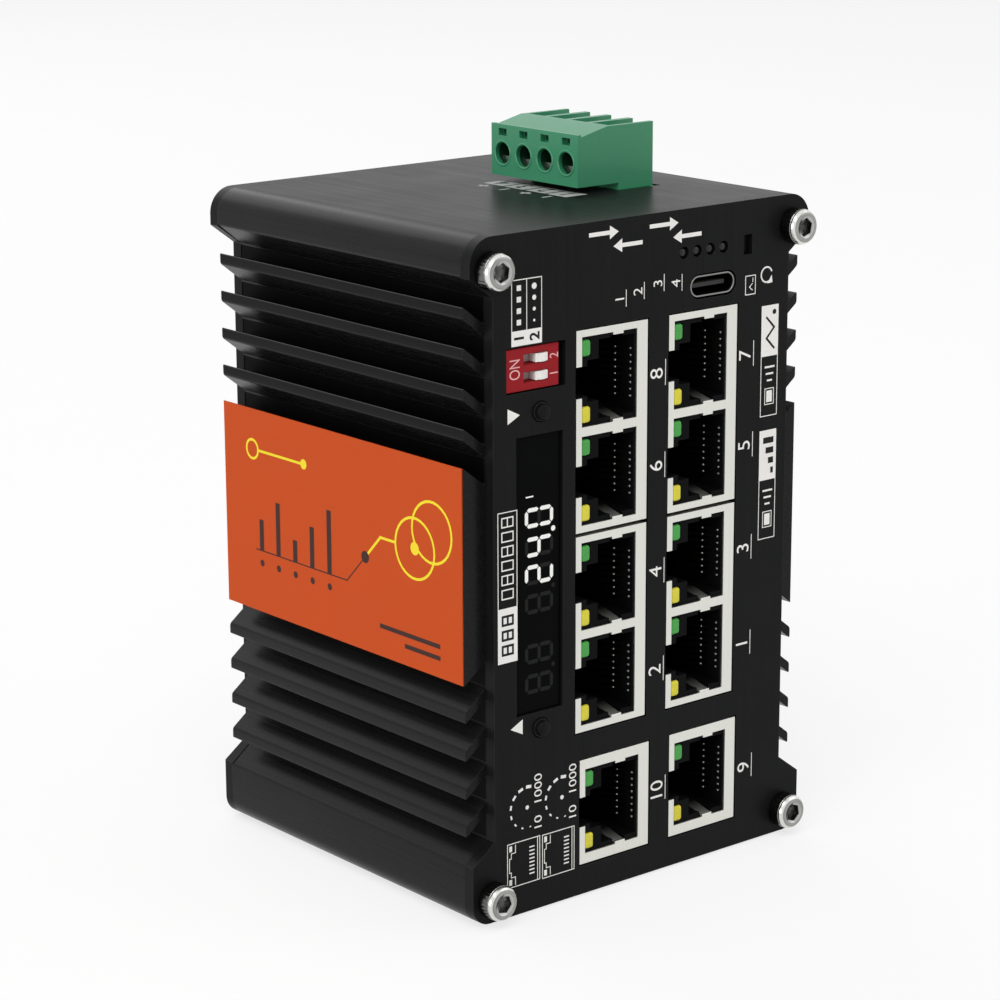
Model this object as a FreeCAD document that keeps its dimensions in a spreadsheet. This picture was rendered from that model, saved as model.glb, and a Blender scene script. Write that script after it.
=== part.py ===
"""Ten-port network switch in a finned rail-mount case, in millimetres.

X runs to the right seen from the front, Y into the case and Z up. The origin is the middle of
the case's bottom face. Every size is a cell of the sheet, and every place is worked out from them.
"""
import FreeCAD
import Part
import Sketcher
import os
from types import SimpleNamespace

SIZES = {
    # Case
    "case_depth": 63.4,
    "corner_radius": 4.0,
    "foot_radius": 3.2,
    "panel_thick": 2.0,
    "rear_thick": 2.0,
    "side_wall": 2.0,
    "top_wall": 2.5,
    "ear_slope": 3.1,
    "edge_inset": 4.2,
    # Front layout, from left to right and from the floor up
    "display_inset": 8.45,
    "display_to_jack": 2.6,
    "column_gap": 4.3,
    "right_margin": 14.85,
    "single_floor": 4.75,
    "single_gap": 4.44,
    "double_gap": 0.56,
    "power_gap": 3.8,
    # Fins on both sides of the housing
    "fin_inset": 0.3,
    "fin_depth": 4.0,
    "fin_pitch": 5.85,
    "fin_thick": 1.75,
    "fin_rise": 3.1,
    "fin_lift": 1.825,
    "block_height": 7.575,
    "notch_count": 5,
    # Case screws
    "screw_inset_x": 3.6,
    "screw_inset_low": 3.75,
    "screw_inset_high": 4.8,
    "screw_radius": 1.45,
    "screw_length": 8.0,
    "screw_play": 0.05,
    "head_radius": 2.75,
    "head_height": 3.0,
    "socket_radius": 1.44,
    "socket_depth": 1.6,
    "sunk_radius": 2.8,
    # Side label
    "label_thick": 0.2,
    "label_margin": 0.2,
    # Jacks
    "jack_width": 13.95,
    "jack_depth": 21.0,
    "jack_recess": 0.1,
    "jack_play": 0.25,
    "single_shift": 0.9,
    "shield_thick": 0.3,
    "shield_play": 0.05,
    "rim_left": 1.1,
    "rim_right": 2.1,
    "window_height": 13.4,
    "port_bar": 1.4,
    "jack_end": 1.05,
    "single_end": 1.6,
    "foot_setback": 1.0,
    "latch_gap": 4.7,
    "latch_notch": 4.0,
    "cavity_start": 4.6,
    "cavity_margin": 2.4,
    "cavity_edge": 0.8,
    "cavity_depth": 12.5,
    "latch_step": 2.4,
    "latch_wide": 3.1,
    "latch_narrow": 2.2,
    "latch_depth": 9.0,
    "tab_inset": 3.4,
    "tab_width": 2.0,
    "tab_height": 0.4,
    "tab_room": 0.25,
    "finger_length": 6.0,
    "finger_thick": 0.25,
    "finger_room": 1.0,
    "lens_width": 1.8,
    "lens_height": 2.5,
    "lens_edge": 0.5,
    "lens_depth": 3.0,
    "lens_play": 0.05,
    "contact_pitch": 1.02,
    "contact_count": 8,
    "contact_width": 0.45,
    "contact_thick": 0.3,
    "contact_bend": 2.4,
    "contact_lift": 3.8,
    "contact_reach": 9.0,
    # Boards
    "board_thick": 1.6,
    "board_front": 3.5,
    "board_back": 6.0,
    "board_drop": 0.5,
    "guide_height": 1.8,
    "guide_thick": 1.2,
    "guide_play": 0.1,
    # Management corner: USB socket, status lights and reset
    "usb_shift": 1.85,
    "usb_rise": 3.6,
    "usb_width": 9.1,
    "usb_height": 3.3,
    "usb_wall": 0.3,
    "usb_play": 0.25,
    "usb_recess": 0.2,
    "tongue_width": 6.7,
    "tongue_thick": 0.7,
    "tongue_recess": 1.0,
    "light_shift": -0.15,
    "light_rise": 5.45,
    "light_pitch": 2.7,
    "light_radius": 0.85,
    "light_play": 0.1,
    "light_recess": 0.2,
    "reset_shift": 8.95,
    "reset_drop": 0.2,
    "reset_width": 1.8,
    "reset_height": 3.1,
    "reset_play": 0.15,
    "reset_sink": 1.1,
    "reset_travel": 0.25,
    "reset_base": 4.4,
    "reset_base_tall": 3.5,
    "management_setback": 8.2,
    "management_side": 1.35,
    "management_gap": 0.8,
    "management_play": 0.2,
    "management_head": 0.5,
    # Display corner: slide switches, buttons and digits
    "dip_gap": 0.55,
    "dip_drop": 4.25,
    "dip_width": 9.9,
    "dip_height": 6.3,
    "dip_recess": 0.3,
    "dip_play_left": 0.2,
    "dip_play_right": 1.1,
    "dip_pitch": 2.6,
    "dip_slot_length": 4.6,
    "dip_slot_height": 1.5,
    "dip_slot_depth": 1.6,
    "dip_slot_shift": 0.7,
    "slider_length": 2.3,
    "slider_play": 0.1,
    "slider_rise": 0.2,
    "button_shift": 0.2,
    "button_radius": 1.45,
    "button_play": 0.15,
    "button_proud": 0.2,
    "button_flange": 3.7,
    "flange_thick": 0.3,
    "button_travel": 0.35,
    "tact_width": 4.4,
    "tact_play": 0.08,
    "dip_to_tact": 1.2,
    "tact_to_display": 1.1,
    "display_to_tact": 0.3,
    "display_width": 8.9,
    "display_height": 42.0,
    "display_sink": 0.5,
    "display_play": 0.1,
    "window_thick": 1.2,
    "display_setback": 8.7,
    "display_board_play": 0.2,
    "display_board_side": 1.85,
    "display_board_over": 4.3,
    "display_board_under": 4.4,
    "spacer_radius": 1.5,
    "spacer_inset": 2.0,
    # Power terminal
    "pole_pitch": 5.0,
    "pole_count": 4,
    "plug_y": -0.9,
    "plug_wall": 0.2,
    "plug_shift": 7.15,
    "plug_width": 15.4,
    "plug_overhang": 8.3,
    "plug_lip": 0.7,
    "plug_dip": 0.35,
    "plug_ramp": 6.0,
    "plug_gap": 1.0,
    "plug_face": 8.0,
    "plug_rise": 0.9,
    "plug_seat": 0.1,
    "plug_key": 7.6,
    "wire_radius": 1.75,
    "wire_height": 3.5,
    "wire_slot_width": 1.9,
    "wire_slot_height": 1.1,
    "wire_slot_above": 3.3,
    "wire_slot_depth": 1.0,
    "well_inset": 6.9,
    "well_length": 6.0,
    "well_width": 3.8,
    "well_mouth": 1.8,
    "clamp_height": 4.2,
    "clamp_floor": 1.2,
    "clamp_play": 0.1,
    "clamp_screw_radius": 1.7,
    "clamp_screw_height": 1.6,
    "clamp_slot": 0.5,
    "header_wall": 0.7,
    "header_floor": 1.2,
    "key_gap": 1.3,
    "header_play": 0.2,
    "header_sink": 0.2,
    "pin_width": 1.0,
    "pin_play": 0.25,
    # Parts on the boards
    "chip_width": 14.0,
    "chip_thick": 1.2,
    "pad_thick": 0.5,
    "heat_width": 18.0,
    "link_width": 5.0,
    "link_height": 36.0,
    "coil_width": 7.0,
    "coil_height": 4.5,
    "capacitor_width": 5.2,
    "capacitor_height": 5.4,
    "capacitor_gap": 1.0,
    # Rail clip on the back
    "clip_width": 48.0,
    "clip_thick": 3.0,
    "rail_lift": 12.4,
    "rail_height": 35.0,
    "rail_thick": 1.0,
    "rail_play": 0.4,
    "hook_thick": 2.2,
    "hook_cover": 3.0,
    "hook_top": 4.0,
    "hook_round": 1.8,
    "latch_width": 28.0,
    "latch_plate": 1.8,
    "latch_play": 0.15,
    "latch_head": 24.0,
    "latch_tail": 6.0,
    "latch_travel": 4.0,
    "latch_bar": 2.5,
    "guide_rail": 3.0,
    "guide_lap": 1.5,
    "spring_width": 5.0,
    "spring_wire": 0.5,
    "spring_length": 7.9,
    "spring_turns": 4,
    "peg_height": 1.2,
    "peg_lift": 1.0,
}

PANEL_ROLES = {"front": "XZ_Plane", "side": "YZ_Plane", "top": "XY_Plane"}
ALONG_Y = FreeCAD.Rotation(FreeCAD.Vector(1, 0, 0), -90)
ALONG_X = FreeCAD.Rotation(FreeCAD.Vector(0, 1, 0), 90)
UPRIGHT = FreeCAD.Rotation()
FINGER_ANGLE = 14.0
OVERCUT = 1.0


class Length:
    """A size that holds its value and the sheet expression that it comes from."""

    def __init__(self, value, text):
        self.value = value
        self.text = text

    @staticmethod
    def of(other):
        if isinstance(other, Length):
            return other
        return Length(float(other), repr(float(other)))

    def _join(self, other, sign, value):
        return Length(value, f"({self.text} {sign} {other.text})")

    def __add__(self, other):
        other = Length.of(other)
        return self._join(other, "+", self.value + other.value)

    def __sub__(self, other):
        other = Length.of(other)
        return self._join(other, "-", self.value - other.value)

    def __mul__(self, other):
        other = Length.of(other)
        return self._join(other, "*", self.value * other.value)

    def __truediv__(self, other):
        other = Length.of(other)
        return self._join(other, "/", self.value / other.value)

    def __radd__(self, other):
        return Length.of(other) + self

    def __rsub__(self, other):
        return Length.of(other) - self

    def __rmul__(self, other):
        return Length.of(other) * self

    def __neg__(self):
        return Length.of(0) - self


doc = FreeCAD.newDocument("NetworkSwitch")
sheet = doc.addObject("Spreadsheet::Sheet", "Sizes")
for row, (alias, number) in enumerate(SIZES.items(), start=1):
    sheet.set(f"A{row}", alias)
    sheet.set(f"B{row}", str(number))
    sheet.setAlias(f"B{row}", alias)
doc.recompute()
size = SimpleNamespace(**{name: Length(number, f"Sizes.{name}") for name, number in SIZES.items()})
sub_parts = []


def keep(item, label):
    """Name an object as one of the switch's pieces."""
    item.Label = label
    sub_parts.append(item)
    return item


def bind(item, path, length):
    item.setExpression(path, Length.of(length).text)


def place(item, point, rotation=UPRIGHT):
    item.Placement = FreeCAD.Placement(FreeCAD.Vector(), rotation)
    for axis, length in zip("xyz", point):
        bind(item, f"Placement.Base.{axis}", length)


def box(name, low, high):
    """A block between two corners."""
    item = doc.addObject("Part::Box", name)
    for path, start, end in zip(("Length", "Width", "Height"), low, high):
        bind(item, path, end - start)
    place(item, low)
    return item


def cylinder(name, base, radius, length, rotation):
    item = doc.addObject("Part::Cylinder", name)
    bind(item, "Radius", radius)
    bind(item, "Height", length)
    place(item, base, rotation)
    return item


def cone(name, base, first, second, length, rotation):
    item = doc.addObject("Part::Cone", name)
    bind(item, "Radius1", first)
    bind(item, "Radius2", second)
    bind(item, "Height", length)
    place(item, base, rotation)
    return item


def hexagon(name, base, radius, length, rotation):
    item = doc.addObject("Part::Prism", name)
    item.Polygon = 6
    bind(item, "Circumradius", radius)
    bind(item, "Height", length)
    place(item, base, rotation)
    return item


def fuse(name, items):
    joined = doc.addObject("Part::MultiFuse", name)
    joined.Shapes = items
    joined.Refine = True
    return joined


def cut(name, base, tools):
    """A solid with every tool taken out of it."""
    result = doc.addObject("Part::Cut", name)
    result.Base = base
    result.Tool = tools[0] if len(tools) == 1 else fuse(f"{name}_tools", tools)
    result.Refine = True
    return result


def group(name, items):
    """Separate solids of one kind that share a piece's name."""
    compound = doc.addObject("Part::Compound", name)
    compound.Links = items
    return compound


def new_body(name):
    return doc.addObject("PartDesign::Body", name)


def origin_plane(body, side):
    return next(item for item in body.Origin.OriginFeatures if item.Role == PANEL_ROLES[side])


def new_sketch(body, name, side):
    sketch = body.newObject("Sketcher::SketchObject", name)
    sketch.AttachmentSupport = [(origin_plane(body, side), "")]
    sketch.MapMode = "FlatFace"
    return sketch


def pin_point(sketch, geometry, position, point):
    """Hold a point of a sketch at two distances from the sketch's origin."""
    for kind, length in zip(("DistanceX", "DistanceY"), point):
        length = Length.of(length)
        rule = Sketcher.Constraint(kind, -1, 1, geometry, position, length.value)
        number = sketch.addConstraint(rule)
        sketch.setExpression(f"Constraints[{number}]", length.text)


def polygon(sketch, points):
    """A closed outline of straight lines."""
    first = sketch.GeometryCount
    corners = [FreeCAD.Vector(Length.of(x).value, Length.of(y).value, 0) for x, y in points]
    for start, end in zip(corners, corners[1:] + corners[:1]):
        sketch.addGeometry(Part.LineSegment(start, end))
    for step, point in enumerate(points):
        following = first + (step + 1) % len(points)
        sketch.addConstraint(Sketcher.Constraint("Coincident", first + step, 2, following, 1))
        pin_point(sketch, first + step, 1, point)


def rectangle(sketch, low, high):
    polygon(sketch, [low, (high[0], low[1]), high, (low[0], high[1])])


def circle(sketch, centre, radius):
    middle = FreeCAD.Vector(Length.of(centre[0]).value, Length.of(centre[1]).value, 0)
    number = sketch.addGeometry(Part.Circle(middle, FreeCAD.Vector(0, 0, 1), radius.value))
    rule = sketch.addConstraint(Sketcher.Constraint("Radius", number, radius.value))
    sketch.setExpression(f"Constraints[{rule}]", radius.text)
    pin_point(sketch, number, 3, centre)


def round_ended(sketch, centre, width, height):
    """An outline with two straight sides and two half-round ends."""
    radius = height / 2
    reach = width / 2 - radius
    up = FreeCAD.Vector(0, 0, 1)
    quarter = 1.5707963267948966
    ends = []
    for side, start in ((1, -quarter), (-1, quarter)):
        point = (centre[0] + side * reach, centre[1])
        middle = FreeCAD.Vector(point[0].value, point[1].value, 0)
        arc = Part.ArcOfCircle(Part.Circle(middle, up, radius.value), start, start + 2 * quarter)
        number = sketch.addGeometry(arc)
        rule = sketch.addConstraint(Sketcher.Constraint("Radius", number, radius.value))
        sketch.setExpression(f"Constraints[{rule}]", radius.text)
        pin_point(sketch, number, 3, point)
        ends.append(number)
    right, left = ends
    for first, second in ((right, left), (left, right)):
        start = sketch.getPoint(first, 2)
        end = sketch.getPoint(second, 1)
        line = sketch.addGeometry(Part.LineSegment(start, end))
        sketch.addConstraint(Sketcher.Constraint("Tangent", first, 2, line, 1))
        sketch.addConstraint(Sketcher.Constraint("Tangent", line, 2, second, 1))


def pad(body, name, sketch, length, symmetric=False, reverse=False):
    feature = body.newObject("PartDesign::Pad", name)
    feature.Profile = sketch
    feature.SideType = "Symmetric" if symmetric else "One side"
    feature.Reversed = reverse
    bind(feature, "Length", length)
    return feature


def pocket(body, name, sketch, one_side=False, reverse=False):
    """A cut right through the body, from its sketch both ways or one way only."""
    feature = body.newObject("PartDesign::Pocket", name)
    feature.Profile = sketch
    feature.SideType = "One side" if one_side else "Symmetric"
    feature.Type = "ThroughAll"
    feature.Reversed = reverse
    return feature


def round_edges(body, name, base, radius, wanted):
    """Fillet the edges of a feature that pass a test."""
    doc.recompute()
    feature = body.newObject("PartDesign::Fillet", name)
    chosen = [f"Edge{n}" for n, edge in enumerate(base.Shape.Edges, start=1) if wanted(edge)]
    feature.Base = (base, chosen)
    bind(feature, "Radius", radius)
    body.Tip = feature
    return feature


def linear_pattern(body, name, axis, pitch, count):
    feature = body.newObject("PartDesign::LinearPattern", name)
    feature.Direction = axis
    feature.Mode = "Spacing"
    bind(feature, "Offset", pitch)
    bind(feature, "Occurrences", count)
    return feature


def mirror(body, name, side):
    feature = body.newObject("PartDesign::Mirrored", name)
    feature.MirrorPlane = (origin_plane(body, side), [""])
    return feature


def multi_transform(body, name, original, steps):
    feature = body.newObject("PartDesign::MultiTransform", name)
    feature.Originals = [original]
    feature.Transformations = steps
    body.Tip = feature
    return feature


# Jack sizes that follow from the port window
port_pitch = size.window_height + size.port_bar
double_length = port_pitch + size.window_height + 2 * size.jack_end
single_length = size.window_height + 2 * size.single_end
cavity_half = size.window_height / 2 - size.cavity_edge
lens_outer = size.window_height / 2 - size.lens_edge
cavity_end = size.jack_width - size.cavity_margin
tab_middle = cavity_end - size.tab_inset
contact_tip = cavity_end - size.contact_lift

# Heights, from the floor up
single_top = size.single_floor + single_length
double_bottom = single_top + size.single_gap
double_top = double_bottom + 2 * double_length + size.double_gap
upper_double_z = double_top - double_length / 2
lower_double_z = double_bottom + double_length / 2
single_z = single_top - single_length / 2
power_bottom = double_top + size.power_gap
power_top = power_bottom + size.board_thick
header_top = power_top + size.header_floor + size.key_gap + size.plug_key - size.plug_seat
case_height = header_top + size.header_sink
inner_top = case_height - size.top_wall
fin_middle = case_height / 2 + size.fin_lift
fin_reach = case_height / 2 - size.block_height
band_half = fin_reach - size.notch_count * size.fin_pitch + size.fin_thick

# Widths, from the left side to the right
left_part = size.display_inset + size.display_width + size.display_to_jack
case_width = left_part + 2 * size.jack_width + size.column_gap + size.right_margin
half_width = case_width / 2
left_jack_x = left_part + size.jack_width / 2 - half_width
right_jack_x = left_jack_x + size.jack_width + size.column_gap
tip_x = half_width - size.fin_inset
root_x = tip_x - size.fin_depth
inner_x = root_x - size.side_wall
edge_x = half_width - size.edge_inset
left_board_face = left_jack_x + size.jack_width / 2 + size.single_shift
right_board_face = right_jack_x + size.jack_width / 2 + size.single_shift
left_board_end = left_board_face + size.board_thick
right_board_end = right_board_face + size.board_thick

# Depths, from the front to the back
front = -size.case_depth / 2
back = size.case_depth / 2
panel_back = front + size.panel_thick
rear_front = back - size.rear_thick
jack_front = front + size.jack_recess
management_face = front + size.management_setback
display_face = front + size.display_setback
flange_front = panel_back + size.button_play
flange_back = flange_front + size.flange_thick
tact_front = flange_back + size.button_travel + size.tact_play

# Screws of the end plates
screw_x = half_width - size.screw_inset_x
screw_low = size.screw_inset_low
screw_high = case_height - size.screw_inset_high
bore_radius = size.screw_radius + size.screw_play
screw_places = [(x, z) for x in (-screw_x, screw_x) for z in (screw_low, screw_high)]

# Management corner
usb_x = right_jack_x + size.usb_shift
usb_z = double_top + size.usb_rise
light_x = right_jack_x + size.light_shift
light_z = usb_z + size.light_rise
reset_x = right_jack_x + size.reset_shift
reset_z = light_z - size.reset_drop
management_bottom = double_top + size.management_gap

# Display corner, from the slide switches down
dip_x = size.dip_gap + size.dip_width / 2 - inner_x
dip_z = double_top - size.dip_drop
display_x = size.display_inset + size.display_width / 2 - half_width
button_x = display_x + size.button_shift
button_high = dip_z - size.dip_height / 2 - size.dip_to_tact - size.tact_width / 2
display_high = button_high - size.tact_width / 2 - size.tact_to_display
display_z = display_high - size.display_height / 2
button_low = display_high - size.display_height - size.display_to_tact - size.tact_width / 2

# Power terminal
plug_half = size.pole_pitch * size.pole_count / 2 + size.plug_wall
plug_left = right_jack_x - size.plug_shift
plug_right = plug_left + size.plug_width
plug_step = plug_left + size.plug_overhang
well_start = plug_left + size.well_inset
well_end = well_start + size.well_length
header_left = plug_step - size.header_wall
header_right = plug_right + size.header_wall
header_half = plug_half + size.header_wall


class Jack:
    """One shielded jack of one or two ports, seen from the front with its latches to the left."""

    def __init__(self, place_name, x, z, length, ports, board_face):
        self.name = place_name
        self.x = x
        self.z = z
        self.length = length
        self.ports = ports
        self.board_face = board_face
        self.left = x - size.jack_width / 2
        self.right = x + size.jack_width / 2
        self.bottom = z - length / 2
        self.top = z + length / 2

    def port_heights(self):
        """Middle height of each port, from the top one down."""
        spread = [0.0] if self.ports == 1 else [0.5, -0.5]
        return [self.z + step * port_pitch for step in spread]

    def block(self, name, across, deep, high):
        """A block from distances off the jack's left edge and its front, and two heights."""
        low = (self.left + across[0], jack_front + deep[0], high[0])
        top = (self.left + across[1], jack_front + deep[1], high[1])
        return box(f"{self.name}_{name}", low, top)

    def shield(self):
        """Folded tin box, open to the board, with a window for each port and bent ground fingers."""
        tin = size.shield_thick
        whole = self.block("tin", (0, size.jack_width), (0, size.jack_depth), (self.bottom, self.top))
        deep = (tin, size.jack_depth - tin)
        inside = (self.bottom + tin, self.top - tin)
        tools = [self.block("hollow", (tin, size.jack_width + OVERCUT), deep, inside)]
        tabs = []
        window_end = size.jack_width - size.rim_right
        tab = (tab_middle - size.tab_width / 2, tab_middle + size.tab_width / 2)
        for port in self.port_heights():
            low = port - size.window_height / 2
            high = port + size.window_height / 2
            cut_deep = (-OVERCUT, OVERCUT)
            tools.append(self.block("window", (size.rim_left, window_end), cut_deep, (low, high)))
            notch = (port - size.latch_gap / 2, port + size.latch_gap / 2)
            slot_deep = (-OVERCUT, size.latch_notch)
            tools.append(self.block("notch", (-OVERCUT, size.rim_left + tin), slot_deep, notch))
            for edge, way in ((high, -1), (low, 1)):
                span = sorted((edge, edge + way * size.tab_height), key=lambda item: item.value)
                tabs.append(self.block("tab", tab, (0, tin), span))
                tabs.append(self.finger(tab, edge, way))
        body = cut(f"{self.name}_folded", whole, tools)
        keep(fuse(f"{self.name}_shielding", [body] + tabs), f"shield_{self.name}")

    def finger(self, tab, edge, way):
        """Spring finger that leans back into the port from the window's edge."""
        finger = doc.addObject("Part::Box", f"{self.name}_finger")
        bind(finger, "Length", tab[1] - tab[0])
        bind(finger, "Width", size.finger_length)
        bind(finger, "Height", size.finger_thick)
        lean = FreeCAD.Rotation(FreeCAD.Vector(1, 0, 0), way * FINGER_ANGLE)
        drop = size.finger_thick if way < 0 else Length.of(0)
        place(finger, (self.left + tab[0], jack_front, edge - drop), lean)
        return finger

    def moulding(self):
        """Black insert with a stepped plug opening for each port and pockets for its lenses."""
        tin = size.shield_thick + size.shield_play
        end = size.jack_depth - tin
        inside = (self.bottom + tin, self.top - tin)
        blocks = [self.block("core", (tin, size.jack_width), (tin, end), inside)]
        foot = self.board_face - self.left
        if self.ports > 1:
            foot_start = panel_back + size.foot_setback - jack_front
            blocks.append(self.block("foot", (size.jack_width, foot), (foot_start, end), inside))
        tools = []
        lens_end = size.rim_left + size.lens_play + size.lens_width + size.lens_play
        lens_reach = lens_outer + size.lens_play
        lens_start = lens_reach - size.lens_height - 2 * size.lens_play
        half_tab = size.tab_width / 2 + size.tab_room
        for port in self.port_heights():
            plug = (port - cavity_half, port + cavity_half)
            across = (size.cavity_start, cavity_end)
            tools.append(self.block("plug", across, (0, size.cavity_depth), plug))
            wide = (port - size.latch_wide, port + size.latch_wide)
            across = (size.latch_step, size.cavity_start + OVERCUT)
            tools.append(self.block("wide", across, (0, size.latch_depth), wide))
            narrow = (port - size.latch_narrow, port + size.latch_narrow)
            across = (0, size.latch_step + OVERCUT)
            tools.append(self.block("narrow", across, (0, size.latch_depth), narrow))
            relief = size.window_height / 2
            across = (tab_middle - half_tab, tab_middle + half_tab)
            deep = (0, size.finger_length + size.finger_room)
            tools.append(self.block("relief", across, deep, (port - relief, port + relief)))
            for low, high in ((lens_start, lens_reach), (-lens_reach, -lens_start)):
                across = (size.rim_left, lens_end)
                high_low = (port + low, port + high)
                tools.append(self.block("pocket", across, (0, size.lens_depth), high_low))
        blank = blocks[0] if len(blocks) == 1 else fuse(f"{self.name}_blank", blocks)
        keep(cut(f"{self.name}_insert", blank, tools), f"insert_{self.name}")

    def lenses(self, way):
        """Indicator lens of each port, above the latch opening or below it."""
        items = []
        start = size.rim_left + size.lens_play
        for port in self.port_heights():
            ends = (port + way * lens_outer, port + way * (lens_outer - size.lens_height))
            span = sorted(ends, key=lambda item: item.value)
            across = (start, start + size.lens_width)
            items.append(self.block("lens", across, (0, size.lens_depth), span))
        return items

    def contacts(self):
        """Row of slanted spring contacts in each port."""
        body = new_body(f"{self.name}_wires")
        sketch = new_sketch(body, f"{self.name}_wire", "top")
        bend = size.contact_bend
        polygon(sketch, [
            (cavity_end, bend),
            (contact_tip - size.contact_thick, size.contact_reach),
            (contact_tip, size.contact_reach),
            (cavity_end, bend + 2 * size.contact_thick),
        ])
        wire = pad(body, f"{self.name}_strip", sketch, size.contact_width, symmetric=True)
        doc.recompute()
        across = (sketch, ["N_Axis"])
        row = linear_pattern(body, f"{self.name}_row", across, size.contact_pitch, size.contact_count)
        steps = [row]
        if self.ports > 1:
            count = Length.of(self.ports)
            steps.append(linear_pattern(body, f"{self.name}_ports", across, port_pitch, count))
        multi_transform(body, f"{self.name}_comb", wire, steps)
        first = self.port_heights()[-1] - (size.contact_count - 1) * size.contact_pitch / 2
        place(body, (self.left, jack_front, first))
        keep(body, f"contacts_{self.name}")


def left_jack(name, z, length, ports, shift=0.0):
    return Jack(name, left_jack_x + shift, z, length, ports, left_board_face)


def right_jack(name, z, length, ports, shift=0.0):
    return Jack(name, right_jack_x + shift, z, length, ports, right_board_face)


jacks = [
    left_jack("upper_left", upper_double_z, double_length, 2),
    right_jack("upper_right", upper_double_z, double_length, 2),
    left_jack("lower_left", lower_double_z, double_length, 2),
    right_jack("lower_right", lower_double_z, double_length, 2),
    left_jack("uplink_left", single_z, single_length, 1, size.single_shift),
    right_jack("uplink_right", single_z, single_length, 1, size.single_shift),
]


def make_housing():
    """Extruded tube with slanted fins, board guides, screw channels and the terminal's opening."""
    body = new_body("housing_tube")
    low = -fin_middle
    high = case_height - fin_middle
    outline = new_sketch(body, "housing_outline", "front")
    rectangle(outline, (-half_width, low), (half_width, high))
    blank = pad(body, "housing_blank", outline, rear_front - panel_back, symmetric=True)
    round_corners(body, "housing", blank, low, high)
    hollow = new_sketch(body, "housing_hollow", "front")
    rectangle(hollow, (-inner_x, low + size.top_wall), (inner_x, high - size.top_wall))
    for x, z in screw_places:
        circle(hollow, (x, z - fin_middle), bore_radius)
    pocket(body, "housing_bore", hollow)
    guides = new_sketch(body, "housing_guides", "front")
    for face in (left_board_face, right_board_face):
        outer = face - size.guide_play
        inner = face + size.board_thick + size.guide_play
        for start, end in ((outer - size.guide_thick, outer), (inner, inner + size.guide_thick)):
            floor = low + size.top_wall
            rectangle(guides, (start, floor - OVERCUT), (end, floor + size.guide_height))
    roof = high - size.top_wall
    outer = left_board_face - size.guide_play
    inner = left_board_face + size.board_thick + size.guide_play
    for start, end in ((outer - size.guide_thick, outer), (inner, inner + size.guide_thick)):
        rectangle(guides, (start, roof - size.guide_height), (end, roof + OVERCUT))
    shelf = power_bottom - fin_middle - size.guide_play
    above = power_top - fin_middle + size.guide_play
    for start, end in ((shelf - size.guide_thick, shelf), (above, above + size.guide_thick)):
        rectangle(guides, (inner_x - size.guide_height, start), (inner_x + OVERCUT, end))
    pad(body, "housing_ribs", guides, rear_front - panel_back, symmetric=True)
    relief = new_sketch(body, "housing_relief", "front")
    for start, end in ((tip_x, half_width + OVERCUT), (-half_width - OVERCUT, -tip_x)):
        rectangle(relief, (start, -fin_reach), (end, fin_reach))
    pocket(body, "housing_flanks", relief)
    notch = new_sketch(body, "housing_notch", "front")
    mouth_low = band_half
    mouth_high = band_half + size.fin_pitch - size.fin_thick
    lead = size.fin_rise / size.fin_depth * OVERCUT
    polygon(notch, [
        (root_x, mouth_low - size.fin_rise),
        (tip_x + OVERCUT, mouth_low + lead),
        (tip_x + OVERCUT, mouth_high + lead),
        (root_x, mouth_high - size.fin_rise),
    ])
    slot = pocket(body, "housing_slot", notch)
    doc.recompute()
    upward = (notch, ["V_Axis"])
    rows = linear_pattern(body, "housing_rows", upward, size.fin_pitch, size.notch_count)
    steps = [rows, mirror(body, "housing_sides", "side"), mirror(body, "housing_halves", "top")]
    multi_transform(body, "housing_fins", slot, steps)
    opening = new_sketch(body, "housing_opening", "top")
    rectangle(
        opening,
        (header_left - size.header_play, size.plug_y - header_half - size.header_play),
        (header_right + size.header_play, size.plug_y + header_half + size.header_play),
    )
    body.Tip = pocket(body, "housing_socket", opening, one_side=True, reverse=True)
    place(body, (0, (panel_back + rear_front) / 2, fin_middle))
    keep(body, "housing")


def runs_along_y(edge):
    """Whether an edge runs from front to back."""
    start = edge.Vertexes[0].Point
    end = edge.Vertexes[-1].Point
    return abs(start.x - end.x) < 1e-6 and abs(start.z - end.z) < 1e-6


def round_corners(body, name, blank, bottom, top):
    """Round a blank's two upper corners, and its lower ones slightly."""

    def corner_at(height):
        def wanted(edge):
            point = edge.Vertexes[0].Point
            outside = abs(abs(point.x) - half_width.value) < 1e-6
            return runs_along_y(edge) and outside and abs(point.z - height.value) < 1e-6

        return wanted

    shoulders = round_edges(body, f"{name}_corners", blank, size.corner_radius, corner_at(top))
    round_edges(body, f"{name}_feet", shoulders, size.foot_radius, corner_at(bottom))


def make_plate(name, thickness, back_face):
    """Blank of an end plate: ears as tall as the plain blocks beside the fins, and narrower sides."""
    body = new_body(f"{name}_plate")
    outline = new_sketch(body, f"{name}_outline", "front")
    low = fin_middle - fin_reach
    low_in = low + size.ear_slope
    high = fin_middle + fin_reach
    high_in = high - size.ear_slope
    right_side = [
        (half_width, Length.of(0)),
        (half_width, low),
        (edge_x, low_in),
        (edge_x, high_in),
        (half_width, high),
        (half_width, case_height),
    ]
    left_side = [(-x, z) for x, z in reversed(right_side)]
    polygon(outline, right_side + left_side)
    blank = pad(body, f"{name}_blank", outline, thickness)
    round_corners(body, name, blank, Length.of(0), case_height)
    place(body, (0, back_face, 0))
    return body


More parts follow.
